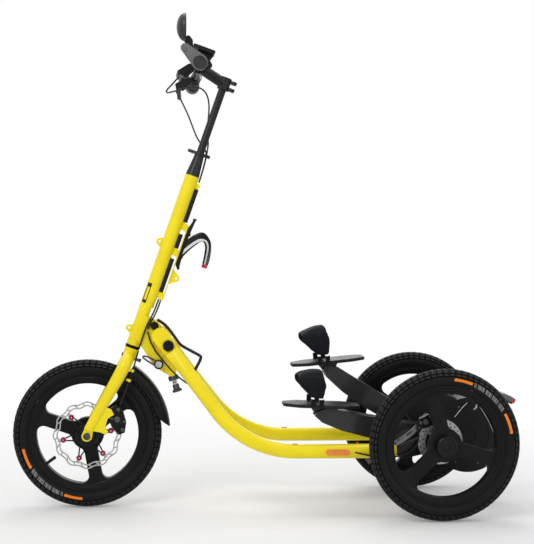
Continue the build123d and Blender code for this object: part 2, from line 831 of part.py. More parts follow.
with BuildPart() as stem:
    with BuildSketch(column_section(stem_clamp_station - stem_clamp_height / 2)):
        Circle(stem_clamp_radius)
    extrude(amount=stem_clamp_height)
    stem_way = on_column(bar_back, bar_station) - on_column(0, stem_clamp_station)
    with BuildSketch(Plane(origin=on_column(0, stem_clamp_station), x_dir=(0, 1, 0), z_dir=stem_way)):
        Circle(stem_radius)
    extrude(amount=stem_way.length)
    with BuildSketch(column_side(0)):
        with Locations((bar_back, bar_station)):
            Circle(bar_clamp_radius + 4)
    extrude(amount=bar_clamp_half, both=True)
    with BuildSketch(column_side(0)):
        for station in (stem_clamp_station + 9, stem_clamp_station - 11):
            with Locations((20, station)):
                RectangleRounded(24, 9, 3)
    extrude(amount=9, both=True)
    with BuildSketch(column_section(stem_clamp_station - 20)):
        Circle(post_radius)
    extrude(amount=60, mode=Mode.SUBTRACT)
    with BuildSketch(column_side(0)):
        with Locations((bar_back, bar_station)):
            Circle(bar_clamp_radius)
    extrude(amount=60, both=True, mode=Mode.SUBTRACT)
finish(stem, "stem")

bar_ends = {}
bar_ways = {}
for side, hand in sides.items():
    bar_bend = on_column(bar_back, bar_station, hand * bar_centre_half)
    bar_ends[side] = on_column(bar_back - 2, bar_end_station, hand * bar_half_width)
    bar_ways[side] = (bar_ends[side] - bar_bend).normalized()
with BuildPart() as handlebar:
    with BuildSketch(column_side(0)):
        with Locations((bar_back, bar_station)):
            Circle(bar_clamp_radius)
    extrude(amount=30, both=True)
    with BuildLine() as bar_path:
        FilletPolyline(
            bar_ends["left"] - bar_ways["left"] * 6,
            on_column(bar_back, bar_station, -bar_centre_half),
            on_column(bar_back, bar_station, bar_centre_half),
            bar_ends["right"] - bar_ways["right"] * 6,
            radius=60,
        )
    with BuildSketch(Plane(bar_path.line @ 0, z_dir=bar_path.line % 0)):
        Circle(bar_radius)
    sweep(path=bar_path.line)
finish(handlebar, "handlebar")

with BuildPart() as grips:
    for side, hand in sides.items():
        bar_way = bar_ways[side]
        grip_start = bar_ends[side] - bar_way * grip_length
        with BuildSketch(Plane(origin=grip_start, x_dir=(1, 0, 0), z_dir=bar_way)):
            Circle(grip_radius)
            Circle(bar_radius, mode=Mode.SUBTRACT)
        extrude(amount=grip_length)
        with BuildSketch(Plane(origin=bar_ends[side] - bar_way * 5, x_dir=(1, 0, 0), z_dir=bar_way)):
            Circle(grip_radius - 1)
        extrude(amount=5)
finish(grips, "grips")

with BuildPart() as bar_horns:
    for side, hand in sides.items():
        horn_start = bar_ends[side] - bar_ways[side] * horn_setback
        horn_plane = Plane(origin=horn_start, x_dir=back_dir, z_dir=bar_ways[side])
        with BuildSketch(horn_plane):
            with BuildSketch(mode=Mode.PRIVATE) as horn_ends:
                Circle(20)
                with Locations((-46, -hand * 21)):
                    Circle(11)
            make_hull(horn_ends.edges())
            Circle(grip_radius + 0.2, mode=Mode.SUBTRACT)
        extrude(amount=horn_thickness)
finish(bar_horns, "bar_horns")

lever_y = bar_half_width - lever_setback
with BuildPart() as brake_levers:
    for side, hand in sides.items():
        with BuildSketch(column_side(hand * lever_y)):
            with Locations((bar_back, bar_station - 10)):
                Circle(bar_radius + 4)
                Circle(bar_radius + 2, mode=Mode.SUBTRACT)
        extrude(amount=-hand * lever_clamp_width)
        with BuildSketch(column_side(hand * lever_y)):
            with BuildLine():
                Polyline(
                    (-92, 1002),
                    (-84, 994),
                    (-100, 962),
                    (-120, 958),
                    (-128, 972),
                    (-106, 1000),
                    close=True,
                )
            make_face()
        extrude(amount=-hand * lever_clamp_width)
        blade_start = on_column(-116, 966, hand * (lever_y + 4))
        blade_end = on_column(-104, 946, hand * (bar_half_width - blade_end_setback))
        blade_way = blade_end - blade_start
        with BuildSketch(Plane(origin=blade_start, x_dir=back_dir, z_dir=blade_way)):
            RectangleRounded(12, 6, 2)
        extrude(amount=blade_way.length)
finish(brake_levers, "brake_levers")

# Pedal arms swing on the rear axle tube; each foot platform pivots in the arm's fork end.
for side, hand in sides.items():
    lift = radians(arm_angle[side])
    arm_plane = Plane(
        origin=(rear_x, hand * arm_y, hub_z), x_dir=(-cos(lift), 0, sin(lift)), z_dir=(0, 1, 0)
    )
    with BuildPart() as pedal_arm:
        with BuildSketch(arm_plane):
            with BuildLine():
                Polyline(
                    (0, arm_boss_radius),
                    (120, 22),
                    (300, 19.5),
                    (arm_length, 13.5),
                    (arm_length + 14, 4),
                    (arm_length + 16, -8),
                    (308, -21),
                    (250, -32),
                    (168, -36),
                    (0, -arm_boss_radius),
                    close=True,
                )
            make_face()
        extrude(amount=arm_width / 2, both=True)
        with BuildSketch(arm_plane):
            Circle(arm_boss_radius)
        extrude(amount=arm_width / 2, both=True)
        with BuildSketch(arm_plane):
            Circle(axle_radius + running_gap)
            with Locations((arm_length, 0)):
                Circle(pedal_pin_radius + running_gap)
        extrude(amount=arm_width, both=True, mode=Mode.SUBTRACT)
        with BuildSketch(arm_plane):
            with Locations((arm_length - slot_depth, 0)):
                Rectangle(2 * slot_depth, 120, align=(Align.MIN, Align.CENTER))
        extrude(amount=lug_width / 2 + face_gap, both=True, mode=Mode.SUBTRACT)
    finish(pedal_arm, f"pedal_arm_{side}")

    pivot_x = rear_x - arm_length * cos(lift)
    pivot_z = hub_z + arm_length * sin(lift)
    pedal_side = side_plane(pivot_x, hand * arm_y, pivot_z, pedal_pitch[side])
    up_way = pedal_side.y_dir
    sole_bottom = sole_top - sole_thickness
    with BuildPart() as bracket:
        with BuildSketch(pedal_side):
            with BuildLine():
                Polyline((-30, sole_bottom), (30, sole_bottom), (15, -5), (0, -13), (-12, -5), close=True)
            make_face()
            Circle(pedal_eye_radius)
        extrude(amount=lug_width / 2, both=True)
        with BuildSketch(pedal_side):
            Circle(pedal_pin_radius)
        extrude(amount=arm_width / 2 + 3, both=True)
    finish(bracket, f"pedal_bracket_{side}")

    sole_plane = Plane(
        origin=pedal_side.origin + up_way * sole_bottom, x_dir=pedal_side.x_dir, z_dir=up_way
    )
    with BuildPart() as sole:
        with BuildSketch(sole_plane) as outline:
            with BuildLine():
                Polyline(
                    (-sole_half_length, -24),
                    (-62, -sole_half_width),
                    (62, -sole_half_width),
                    (sole_half_length, -30),
                    (sole_half_length, 30),
                    (62, sole_half_width),
                    (-62, sole_half_width),
                    (-sole_half_length, 24),
                    close=True,
                )
            make_face()
            fillet(outline.vertices(), 14)
        extrude(amount=sole_thickness)
    finish(sole, f"pedal_sole_{side}")

    end_plane = Plane(origin=pedal_side.origin, x_dir=across, z_dir=pedal_side.x_dir)
    with BuildPart() as foot_pad:
        with BuildSketch(end_plane) as arch:
            Rectangle(2 * pad_outer_half, pad_top, align=(Align.CENTER, Align.MIN))
            fillet(arch.vertices().group_by(Axis.Z)[-1], pad_corner)
            Rectangle(
                2 * (pad_outer_half - pad_wall),
                pad_top - pad_wall - 4,
                align=(Align.CENTER, Align.MIN),
                mode=Mode.SUBTRACT,
            )
        extrude(amount=100, both=True)
        with BuildSketch(pedal_side) as cheek:
            with BuildLine():
                Polyline((-72, 102), (-66, 82), (-33, 44), (2, 42), (10, 80), (-3, 126), close=True)
            make_face()
            fillet(cheek.vertices(), 6)
        extrude(amount=2 * pad_outer_half, both=True, mode=Mode.INTERSECT)
    finish(foot_pad, f"foot_pad_{side}")

    with BuildPart() as strap:
        for strap_side in sides.values():
            strap_plane = Plane(
                origin=pedal_side.origin + across * strap_side * (sole_half_width), x_dir=pedal_side.x_dir,
                z_dir=(0, -1, 0),
            )
            with BuildSketch(strap_plane):
                for back in (-26, -4):
                    with Locations((back, sole_top - 4)):
                        Rectangle(13, 21, align=(Align.CENTER, Align.MIN))
            extrude(amount=-strap_side * 2.5)
        add(foot_pad.part, mode=Mode.SUBTRACT)
    finish(strap, f"foot_strap_{side}")

# Column fittings: lugs, cable rail and covers, bottle cage, cable hook.
with BuildPart() as column_lugs:
    for eye, root in (
        ((-25, 541), ((-10, 556), (-10, 520))),
        ((-25.5, 293.5), ((-10, 305), (-10, 276))),
        ((50, 460), ((37, 480), (37, 441))),
    ):
        with BuildSketch(column_side(0)):
            with BuildSketch(mode=Mode.PRIVATE) as lug_ends:
                with Locations(eye):
                    Circle(lug_eye_radius)
                with Locations(*root):
                    Circle(1)
            make_hull(lug_ends.edges())
            with Locations(eye):
                Circle(lug_bore_radius, mode=Mode.SUBTRACT)
        extrude(amount=lug_thickness / 2, both=True)
    with BuildSketch(column_section(ring_station)):
        Circle(head_tube_radius)
    extrude(amount=head_tube_top - ring_station, mode=Mode.SUBTRACT)
finish(column_lugs, "column_lugs")

rail_front = rail_back - rail_thickness
with BuildPart() as cable_rail:
    with BuildSketch(column_side(0)):
        with BuildLine():
            Polyline(
                (rail_front, rail_start + 2),
                (rail_back, rail_start),
                (rail_back, rail_end),
                (rail_front, rail_end - 2),
                close=True,
            )
        make_face()
        for station in rail_pads:
            with BuildLine():
                Polyline(
                    (10, station + 22),
                    (rail_back, station + 8),
                    (rail_back, station - 10),
                    (10, station - 4),
                    close=True,
                )
            make_face()
        with BuildLine():
            Polyline((10, 724), (26, 721), (30, 714), (26, 707), (10, 704), close=True)
        make_face()
    extrude(amount=6, both=True)
    with BuildSketch(column_section(ring_station)):
        Circle(head_tube_radius)
    extrude(amount=head_tube_top - ring_station, mode=Mode.SUBTRACT)
finish(cable_rail, "cable_rail")

with BuildPart() as cable_covers:
    with BuildSketch(column_side(0)):
        for start, stop in cover_spans:
            with Locations((cover_back, (start + stop) / 2)):
                Rectangle(cover_back - head_tube_radius + 4, stop - start, align=(Align.MAX, Align.CENTER))
    extrude(amount=cover_half, both=True)
    with BuildSketch(column_section(ring_station)):
        Circle(head_tube_radius)
    extrude(amount=head_tube_top - ring_station, mode=Mode.SUBTRACT)
    add(cable_rail.part, mode=Mode.SUBTRACT)
finish(cable_covers, "cable_covers")

bottle_back = rail_back + cage_wall + bottle_radius
with BuildPart() as bottle_cage:
    with BuildSketch(Plane(origin=on_column(bottle_back, 500), x_dir=back_dir, z_dir=steer_dir)):
        Circle(bottle_radius + cage_wall)
        Circle(bottle_radius, mode=Mode.SUBTRACT)
        with Locations((bottle_radius, 0)):
            Rectangle(2 * cage_wall + 10, 2 * cage_gap_half, mode=Mode.SUBTRACT)
    extrude(amount=130)
    with BuildSketch(column_side(0)) as cage_band:
        with BuildLine():
            Spline((44, 566), (78, 602), (100, 590), (111, 572), (117, 540), (117, 512))
            Line((117, 512), (107, 512))
            Spline((107, 512), (105, 535), (102, 556), (94, 574), (78, 578), (60, 550), (44, 520))
            Polyline((44, 520), (rail_back - 2, 516), (rail_back - 2, 562), (44, 566))
        make_face()
    extrude(amount=60, both=True, mode=Mode.INTERSECT)
    with BuildSketch(column_side(0)):
        with BuildLine():
            Polyline(
                (rail_back, 495),
                (rail_back, 600),
                (44, 628),
                (48, 628),
                (46, 495),
                (50, 487),
                (46, 484),
                close=True,
            )
        make_face()
    extrude(amount=10, both=True)
    with BuildSketch(Plane(origin=on_column(bottle_back, 480), x_dir=back_dir, z_dir=steer_dir)):
        Circle(bottle_radius)
    extrude(amount=160, mode=Mode.SUBTRACT)
finish(bottle_cage, "bottle_cage")

with BuildPart() as cable_hook:
    with BuildSketch(column_section(collar_top + 0.5)):
        with BuildSketch(mode=Mode.PRIVATE) as hook_ends:
            Circle(15)
            with Locations((-27, 0)):
                Circle(7)
            with Locations((20, 0)):
                Circle(9)
        make_hull(hook_ends.edges())
        Circle(post_radius, mode=Mode.SUBTRACT)
        with Locations(Location((19, 0, 0), (0, 0, 90))):
            SlotOverall(14, 8.4, mode=Mode.SUBTRACT)
    extrude(amount=hook_height)
finish(cable_hook, "cable_hook")

with BuildPart() as display:
    with BuildSketch(column_side(0)):
        with Locations((display_back, display_station)):
            RectangleRounded(62, 10, 4)
    extrude(amount=34, both=True)
    with BuildSketch(column_side(0)):
        with BuildLine():
            Polyline((-98, 1063), (-52, 1063), (-56, 1050), (-64, 1030), (-92, 1030), close=True)
        make_face()
    extrude(amount=10, both=True)
    with BuildSketch(column_side(0)):
        with Locations((bar_back, bar_station)):
            Circle(bar_clamp_radius + 4)
    extrude(amount=60, both=True, mode=Mode.SUBTRACT)
finish(display, "display")

mirror_y = mirror_setback - bar_half_width
mirror_head = Vector(front_x + mirror_head_x, mirror_y - 12, datum_z + mirror_head_z)
bar_at_mirror = on_column(bar_back - 1, 1007.5)
with BuildPart() as mirror:
    with BuildSketch(Plane(origin=mirror_head, x_dir=(1, 0, 0), z_dir=(0, 1, 0))):
        with Locations((-2, 0)):
            Ellipse(22, 36)
        Rectangle(60, 80, align=(Align.MIN, Align.CENTER), mode=Mode.SUBTRACT)
        Rectangle(60, 80, align=(Align.CENTER, Align.MAX), mode=Mode.SUBTRACT)
    revolve(axis=Axis(mirror_head, (1, 0, 0)))
    with BuildSketch(Plane(origin=(0, mirror_y + 5, 0), x_dir=(1, 0, 0), z_dir=(0, -1, 0))):
        with Locations((bar_at_mirror.X, bar_at_mirror.Z)):
            Circle(bar_radius + 4)
        with BuildLine():
            Polyline(
                (bar_at_mirror.X - 14, bar_at_mirror.Z + 4),
                (mirror_head.X - 8, mirror_head.Z - 20),
                (mirror_head.X, mirror_head.Z - 20),
                (mirror_head.X + 14, mirror_head.Z - 48),
                (bar_at_mirror.X + 4, bar_at_mirror.Z + 14),
                close=True,
            )
        make_face()
        with Locations((bar_at_mirror.X, bar_at_mirror.Z)):
            Circle(bar_radius + 1.5, mode=Mode.SUBTRACT)
    extrude(amount=11)
finish(mirror, "mirror")

# Brake cables in their outer housings, as points (back, station, y) on the column.
cable_radius = 2.2
cable_bend_share = 0.45
cable_routes = {
    "cable_brake_left": [
        (-120, 957, -143),
        (-125, 946, -138),
        (-132, 932, -124),
        (-139, 921, -98),
        (-138, 917, -68),
        (-122, 930, -38),
        (-88, 960, -4),
        (-60, 973, 24),
        (-37, 966, 38),
        (-22, 944, 41),
        (-13, 917, 38),
        (-8, 892, 32),
        (1, 866, 22),
        (13, 834, 8),
        (17.5, 806, -2.5),
        (20.5, 782, -3.2),
        (22.5, 756, -3),
        (23, 726, -3.2),
    ],
    "cable_brake_right": [
        (-120, 955, 141),
        (-111, 945, 130),
        (-93, 928, 113),
        (-64, 896, 84),
        (-38, 862, 55),
        (-17, 836, 31),
        (17.6, 812, 4.6),
        (20, 780, 3),
        (22.5, 756, 3.2),
        (23, 726, 3),
    ],
    "cable_front_upper": [
        (24, 392, -3),
        (24, 380, -8),
        (23.5, 365, -18),
        (21.5, 347, -27.5),
        (16.8, 316, -28.8),
        (16.6, 284, -29),
        (17.4, 252, -29.3),
    ],
    "cable_front": [
        (18, 244, -29.5),
        (18.5, 228, -32),
        (20, 207, -37),
        (21, 181, -42),
        (20.5, 150, -44.5),
        (20.5, 120, -43.5),
        (20.2, 91, -40),
    ],
    "cable_rear_upper": [
        (30, 391, -3),
        (30.2, 379, -8),
        (29.5, 365, -18),
        (27.5, 346, -28),
        (22.6, 326, -29),
        (23.4, 308, -29.6),
    ],
    "cable_rear": [
        (24.2, 302, -29.8),
        (31, 291, -30.5),
        (43, 275, -32),
        (60, 260, -33.5),
        (79, 248, -35.5),
        (98, 236, -38),
        (119, 224, -41.5),
        (144, 213, -47),
        (170, 206, -57),
    ],
}
for name, route in cable_routes.items():
    corners = [on_column(*corner) for corner in route]
    bends = []
    for before, corner, after in zip(corners, corners[1:], corners[2:]):
        arriving = corner - before
        leaving = after - corner
        half_turn = radians(arriving.get_angle(leaving)) / 2
        bends.append(cable_bend_share * min(arriving.length, leaving.length) / tan(half_turn))
    with BuildPart() as cable:
        with BuildLine() as cable_path:
            FilletPolyline(*corners, radius=bends)
        with BuildSketch(Plane(cable_path.line @ 0, z_dir=cable_path.line % 0)):
            Circle(cable_radius)
        sweep(path=cable_path.line)
        cable_length = sum(edge.length for edge in cable_path.edges())
        volume_ratio = cable.part.volume / (pi * cable_radius**2 * cable_length)
        if name == "cable_rear":
            add(beams["left"].part, mode=Mode.SUBTRACT)
    print(name, "smallest bend", round(min(bends), 1), "volume ratio", round(volume_ratio, 3))
    finish(cable, name)
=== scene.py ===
import bpy
import bmesh
import math
from math import cos, sin, radians, pi
from mathutils import Vector, Matrix


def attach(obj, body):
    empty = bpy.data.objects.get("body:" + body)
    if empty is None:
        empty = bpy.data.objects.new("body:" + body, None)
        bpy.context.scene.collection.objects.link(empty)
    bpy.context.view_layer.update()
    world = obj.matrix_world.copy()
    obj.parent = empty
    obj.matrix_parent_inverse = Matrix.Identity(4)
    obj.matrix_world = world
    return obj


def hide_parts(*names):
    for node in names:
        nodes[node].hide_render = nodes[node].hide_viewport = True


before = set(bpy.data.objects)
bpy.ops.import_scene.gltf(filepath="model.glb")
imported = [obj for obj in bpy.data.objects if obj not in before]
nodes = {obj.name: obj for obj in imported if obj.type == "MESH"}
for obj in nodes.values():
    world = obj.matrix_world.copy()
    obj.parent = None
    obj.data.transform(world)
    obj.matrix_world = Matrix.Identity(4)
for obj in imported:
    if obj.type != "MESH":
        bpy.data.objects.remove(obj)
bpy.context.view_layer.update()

# camera, in metres, with the front axle 490 mm ahead of the origin
cameraSettings = {
    "place": (-0.323, -3.264, 0.761),
    "yaw": 5.41, "pitch": 1.84, "roll": 0.66,
    "lens": 79.48, "shift": (0.0037, -0.0110),
}


def makeCamera():
    yaw, pitch, roll = (radians(cameraSettings[k]) for k in ("yaw", "pitch", "roll"))
    ahead = Vector((sin(yaw) * cos(pitch), cos(yaw) * cos(pitch), -sin(pitch)))
    rightLevel = Vector((cos(yaw), -sin(yaw), 0))
    upLevel = rightLevel.cross(ahead)
    right = rightLevel * cos(roll) + upLevel * sin(roll)
    up = upLevel * cos(roll) - rightLevel * sin(roll)
    data = bpy.data.cameras.new("camera")
    data.lens = cameraSettings["lens"]
    data.sensor_width = 36
    data.shift_x, data.shift_y = cameraSettings["shift"]
    camera = bpy.data.objects.new("camera", data)
    bpy.context.scene.collection.objects.link(camera)
    turn = Matrix((right, up, -ahead)).transposed().to_4x4()
    camera.matrix_world = Matrix.Translation(cameraSettings["place"]) @ turn
    bpy.context.scene.camera = camera


makeCamera()
print("camera placed")

# places and small helpers for the meshes
axleHeight = 0.200
wheels = {
    "front": {"centre": Vector((-0.490, 0, axleHeight)), "hand": -1,
              "body": "front_wheel", "tyre": "front_tyre"},
    "left": {"centre": Vector((0.442, -0.210, axleHeight)), "hand": -1,
             "body": "rear_wheel_left", "tyre": "rear_tyre_left"},
    "right": {"centre": Vector((0.442, 0.210, axleHeight)), "hand": 1,
              "body": "rear_wheel_right", "tyre": "rear_tyre_right"},
}
frontCentre = wheels["front"]["centre"]
sideNames = {-1: "left", 1: "right"}
headAngle = radians(71.3)
columnFoot = Vector((-0.490 + 0.037 / sin(headAngle), 0, axleHeight))
upColumn = Vector((cos(headAngle), 0, sin(headAngle)))
backColumn = Vector((sin(headAngle), 0, -cos(headAngle)))


def onColumn(back, station, y=0.0):
    # millimetres behind the steering axis, up along it and across
    return columnFoot + backColumn * (back / 1000) + upColumn * (station / 1000) + Vector((0, y / 1000, 0))


def fromAxle(x, z, y=0.0):
    # millimetres behind the front axle, up from the floor and across
    return Vector((x / 1000 - 0.490, y / 1000, z / 1000))


def placed(name, data):
    piece = bpy.data.objects.new(name, data)
    bpy.context.scene.collection.objects.link(piece)
    return piece


def shadeSmooth(mesh, angle):
    for face in mesh.polygons:
        face.use_smooth = True
    mesh.set_sharp_from_angle(angle=radians(angle))


def finishPiece(piece, slotName, *replaced):
    if replaced:
        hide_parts(*replaced)
    return piece


def meshObject(name, bm, material, body, angle=35):
    # edges sharper than the angle stay crisp, and an angle of 0 leaves the faces flat
    bmesh.ops.remove_doubles(bm, verts=bm.verts, dist=0.00002)
    bmesh.ops.recalc_face_normals(bm, faces=bm.faces)
    mesh = bpy.data.meshes.new(name)
    bm.to_mesh(mesh)
    bm.free()
    piece = placed(name, mesh)
    mesh.materials.append(material)
    if angle:
        shadeSmooth(mesh, angle)
    if body:
        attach(piece, body)
    return piece


def newPiece(name, bm, material, body, slotName, angle=35, *replaced):
    return finishPiece(meshObject(name, bm, material, body, angle), slotName, *replaced)


def addBevel(piece, width, segments=2, angle=40):
    bevel = piece.modifiers.new("edges", "BEVEL")
    bevel.width = width
    bevel.segments = segments
    bevel.limit_method = "ANGLE"
    bevel.angle_limit = radians(angle)
    bevel.harden_normals = False
    return piece


def mergedCopy(node, ending, melt=0):
    # a CAD node's loose triangles joined up, with nearly flat edges melted away
    bm = bmesh.new()
    bm.from_mesh(nodes[node].data)
    bmesh.ops.remove_doubles(bm, verts=bm.verts, dist=0.00003)
    if melt:
        bmesh.ops.dissolve_limit(bm, angle_limit=radians(melt), verts=bm.verts, edges=bm.edges)
    mesh = bpy.data.meshes.new(node + ending)
    bm.to_mesh(mesh)
    bm.free()
    return placed(node + ending, mesh)


def roundedCopy(node, material, body, width, segments, slotName):
    piece = mergedCopy(node, "_eased", 1.2)
    piece.data.materials.append(material)
    shadeSmooth(piece.data, 32)
    addBevel(piece, width, segments, 32)
    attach(piece, body)
    return finishPiece(piece, slotName, node)


def paintNode(node, material):
    mesh = nodes[node].data
    mesh.materials.clear()
    mesh.materials.append(material)


# materials
def newMaterial(name):
    material = bpy.data.materials.new(name)
    material.use_nodes = True
    tree = material.node_tree
    shader = tree.nodes["Principled BSDF"]
    coords = tree.nodes.new("ShaderNodeTexCoord")
    return material, tree, shader, coords


def noiseOf(tree, coords, scale, detail):
    noise = tree.nodes.new("ShaderNodeTexNoise")
    noise.inputs["Scale"].default_value = scale
    noise.inputs["Detail"].default_value = detail
    noise.inputs["Roughness"].default_value = 0.55
    tree.links.new(coords.outputs["Object"], noise.inputs["Vector"])
    return noise.outputs["Fac"]


def rampOf(tree, source, stops, target):
    ramp = tree.nodes.new("ShaderNodeValToRGB")
    for element, (place, colour) in zip(ramp.color_ramp.elements, stops):
        element.position = place
        element.color = (*colour, 1)
    tree.links.new(source, ramp.inputs["Fac"])
    tree.links.new(ramp.outputs["Color"], target)


def rangeOf(tree, source, low, high, fromLow=0.0, fromHigh=1.0):
    spread = tree.nodes.new("ShaderNodeMapRange")
    spread.inputs["From Min"].default_value = fromLow
    spread.inputs["From Max"].default_value = fromHigh
    spread.inputs["To Min"].default_value = low
    spread.inputs["To Max"].default_value = high
    tree.links.new(source, spread.inputs["Value"])
    return spread.outputs["Result"]


def mathOf(tree, operation, first, second):
    step = tree.nodes.new("ShaderNodeMath")
    step.operation = operation
    tree.links.new(first, step.inputs[0])
    tree.links.new(second, step.inputs[1])
    return step.outputs["Value"]


def bumpOf(tree, shader, source, strength, distance):
    bump = tree.nodes.new("ShaderNodeBump")
    bump.inputs["Strength"].default_value = strength
    bump.inputs["Distance"].default_value = distance
    tree.links.new(source, bump.inputs["Height"])
    tree.links.new(bump.outputs["Normal"], shader.inputs["Normal"])


def cloudedColour(tree, shader, coords, scale, detail, dark, light, lightFrom=0.7):
    clouds = noiseOf(tree, coords, scale, detail)
    rampOf(tree, clouds, [(0.3, dark), (lightFrom, light)], shader.inputs["Base Color"])
    return clouds


def variedRoughness(tree, shader, source, low, high):
    tree.links.new(rangeOf(tree, source, low, high), shader.inputs["Roughness"])


def paintMaterial(name, dark, light, rough, coat, peel, shine=0.3):
    material, tree, shader, coords = newMaterial(name)
    clouds = cloudedColour(tree, shader, coords, 14, 4, dark, light)
    variedRoughness(tree, shader, clouds, rough - 0.05, rough + 0.07)
    shader.inputs["Coat Weight"].default_value = coat
    shader.inputs["Coat Roughness"].default_value = 0.12
    shader.inputs["Specular IOR Level"].default_value = shine
    bumpOf(tree, shader, noiseOf(tree, coords, 900, 2), peel, 0.0003)
    return material


def mouldedMaterial(name, dark, light, rough, grain=1400, strength=0.25, shine=0.22):
    material, tree, shader, coords = newMaterial(name)
    clouds = cloudedColour(tree, shader, coords, 30, 4, dark, light, 0.75)
    variedRoughness(tree, shader, clouds, rough - 0.06, rough + 0.08)
    shader.inputs["Specular IOR Level"].default_value = shine
    bumpOf(tree, shader, noiseOf(tree, coords, grain, 2), strength, 0.0003)
    return material


def metalMaterial(name, dark, light, rough, brushed=False):
    material, tree, shader, coords = newMaterial(name)
    shader.inputs["Metallic"].default_value = 1.0
    cloudedColour(tree, shader, coords, 120, 4, dark, light)
    scratches = noiseOf(tree, coords, 2600 if brushed else 700, 3)
    variedRoughness(tree, shader, scratches, rough - 0.08, rough + 0.1)
    bumpOf(tree, shader, scratches, 0.12, 0.0002)
    return material


yellowPaint = paintMaterial("yellowPaint", (0.90, 0.72, 0.004), (0.96, 0.79, 0.007), 0.34, 0.30, 0.05, 0.2)
blackPaint = paintMaterial("blackPaint", (0.008, 0.0085, 0.010), (0.014, 0.0145, 0.016), 0.40, 0.15, 0.10,
                           0.22)
wheelPaint = paintMaterial("wheelPaint", (0.0030, 0.0034, 0.0032), (0.0060, 0.0066, 0.0062), 0.42, 0.06,
                           0.12, 0.12)
blackPlastic = mouldedMaterial("blackPlastic", (0.0055, 0.0055, 0.006), (0.0105, 0.0105, 0.011), 0.46)
glossBlack = mouldedMaterial("glossBlack", (0.004, 0.004, 0.0045), (0.007, 0.007, 0.008), 0.22, 500, 0.05)
fenderPlastic = mouldedMaterial("fenderPlastic", (0.004, 0.004, 0.0045), (0.006, 0.006, 0.0065), 0.30,
                                700, 0.06, 0.14)
gripRubber = mouldedMaterial("gripRubber", (0.016, 0.016, 0.017), (0.028, 0.028, 0.03), 0.72, 900, 0.4)
capRubber = mouldedMaterial("capRubber", (0.030, 0.029, 0.028), (0.042, 0.040, 0.039), 0.6, 900, 0.3)
hornPlastic = mouldedMaterial("hornPlastic", (0.13, 0.13, 0.132), (0.175, 0.175, 0.178), 0.42, 1200, 0.15)
armPaint = paintMaterial("armPaint", (0.010, 0.0105, 0.012), (0.018, 0.0185, 0.021), 0.36, 0.35, 0.10)
bareSteel = metalMaterial("bareSteel", (0.42, 0.42, 0.43), (0.62, 0.62, 0.63), 0.34, True)
mirrorShell = mouldedMaterial("mirrorShell", (0.030, 0.030, 0.032), (0.046, 0.046, 0.049), 0.32, 900, 0.06)
mirrorGlass = metalMaterial("mirrorGlass", (0.62, 0.64, 0.66), (0.70, 0.72, 0.74), 0.10)
rotorSteel = metalMaterial("rotorSteel", (0.34, 0.34, 0.34), (0.47, 0.47, 0.46), 0.42, True)
linkSteel = metalMaterial("linkSteel", (0.13, 0.13, 0.135), (0.21, 0.21, 0.215), 0.38, True)
darkSteel = metalMaterial("darkSteel", (0.07, 0.07, 0.075), (0.12, 0.12, 0.125), 0.4)
redAnodised = metalMaterial("redAnodised", (0.30, 0.008, 0.035), (0.42, 0.012, 0.055), 0.28)
blackAnodised = metalMaterial("blackAnodised", (0.012, 0.012, 0.013), (0.022, 0.022, 0.024), 0.35)
print("first materials made")

# shapes used by many pieces
def frameAt(place, axis):
    # a frame at a place with its Z along the axis
    return Matrix.Translation(place) @ Vector(axis).to_track_quat("Z", "Y").to_matrix().to_4x4()


def turned(bm, profile, place, steps=40, closed=False):
    # spins (radius, height) points about the place's Z axis
    points = [bm.verts.new(place @ Vector((radius, 0, height))) for radius, height in profile]
    edges = [bm.edges.new(pair) for pair in zip(points, points[1:])]
    if closed:
        edges.append(bm.edges.new((points[-1], points[0])))
    bmesh.ops.spin(bm, geom=points + edges, cent=place.translation, axis=place.col[2].to_3d(), dvec=(0, 0, 0),
                   angle=2 * pi, steps=steps, use_merge=True, use_normal_flip=False, use_duplicate=False)


def addBolt(bm, place, axis, radius=0.004, height=0.003, steps=20):
    # a socket-head bolt that starts just inside its seat
    turned(bm, [(0, -0.001), (radius, -0.001), (radius, height * 0.75), (radius * 0.88, height),
                (radius * 0.55, height), (radius * 0.5, height * 0.45), (0, height * 0.45)],
           frameAt(place, axis), steps)


def addRod(bm, start, end, radius, steps=16):
    way = Vector(end) - Vector(start)
    length = way.length
    turned(bm, [(0, 0), (radius * 0.9, 0), (radius, radius * 0.2), (radius, length - radius * 0.2),
                (radius * 0.9, length), (0, length)], frameAt(start, way), steps)


def addBlock(bm, centre, size, turn=None, bevel=0.0008, segments=2):
    # a block with eased edges, and turn is a rotation matrix
    made = bmesh.ops.create_cube(bm, size=1.0)["verts"]
    bmesh.ops.scale(bm, verts=made, vec=size)
    edges = list({edge for vert in made for edge in vert.link_edges})
    result = bmesh.ops.bevel(bm, geom=edges, offset=bevel, segments=segments, affect="EDGES", profile=0.5,
                             material=-1)
    verts = list({vert for face in result["faces"] for vert in face.verts} | {v for v in made if v.is_valid})
    place = Matrix.Translation(centre) @ (turn.to_4x4() if turn else Matrix.Identity(4))
    bmesh.ops.transform(bm, matrix=place, verts=verts)


def wirePiece(name, points, radius, material, body, slotName, *replaced, rounding=6):
    # a smooth tube along its control points
    curve = bpy.data.curves.new(name, "CURVE")
    curve.dimensions = "3D"
    curve.bevel_depth = radius
    curve.bevel_resolution = rounding
    curve.resolution_u = 10
    curve.use_fill_caps = True
    spline = curve.splines.new("NURBS")
    spline.points.add(len(points) - 1)
    for point, place in zip(spline.points, points):
        point.co = (*place, 1)
    spline.order_u = 3
    spline.use_endpoint_u = True
    piece = placed(name, curve)
    curve.materials.append(material)
    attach(piece, body)
    return finishPiece(piece, slotName, *replaced)


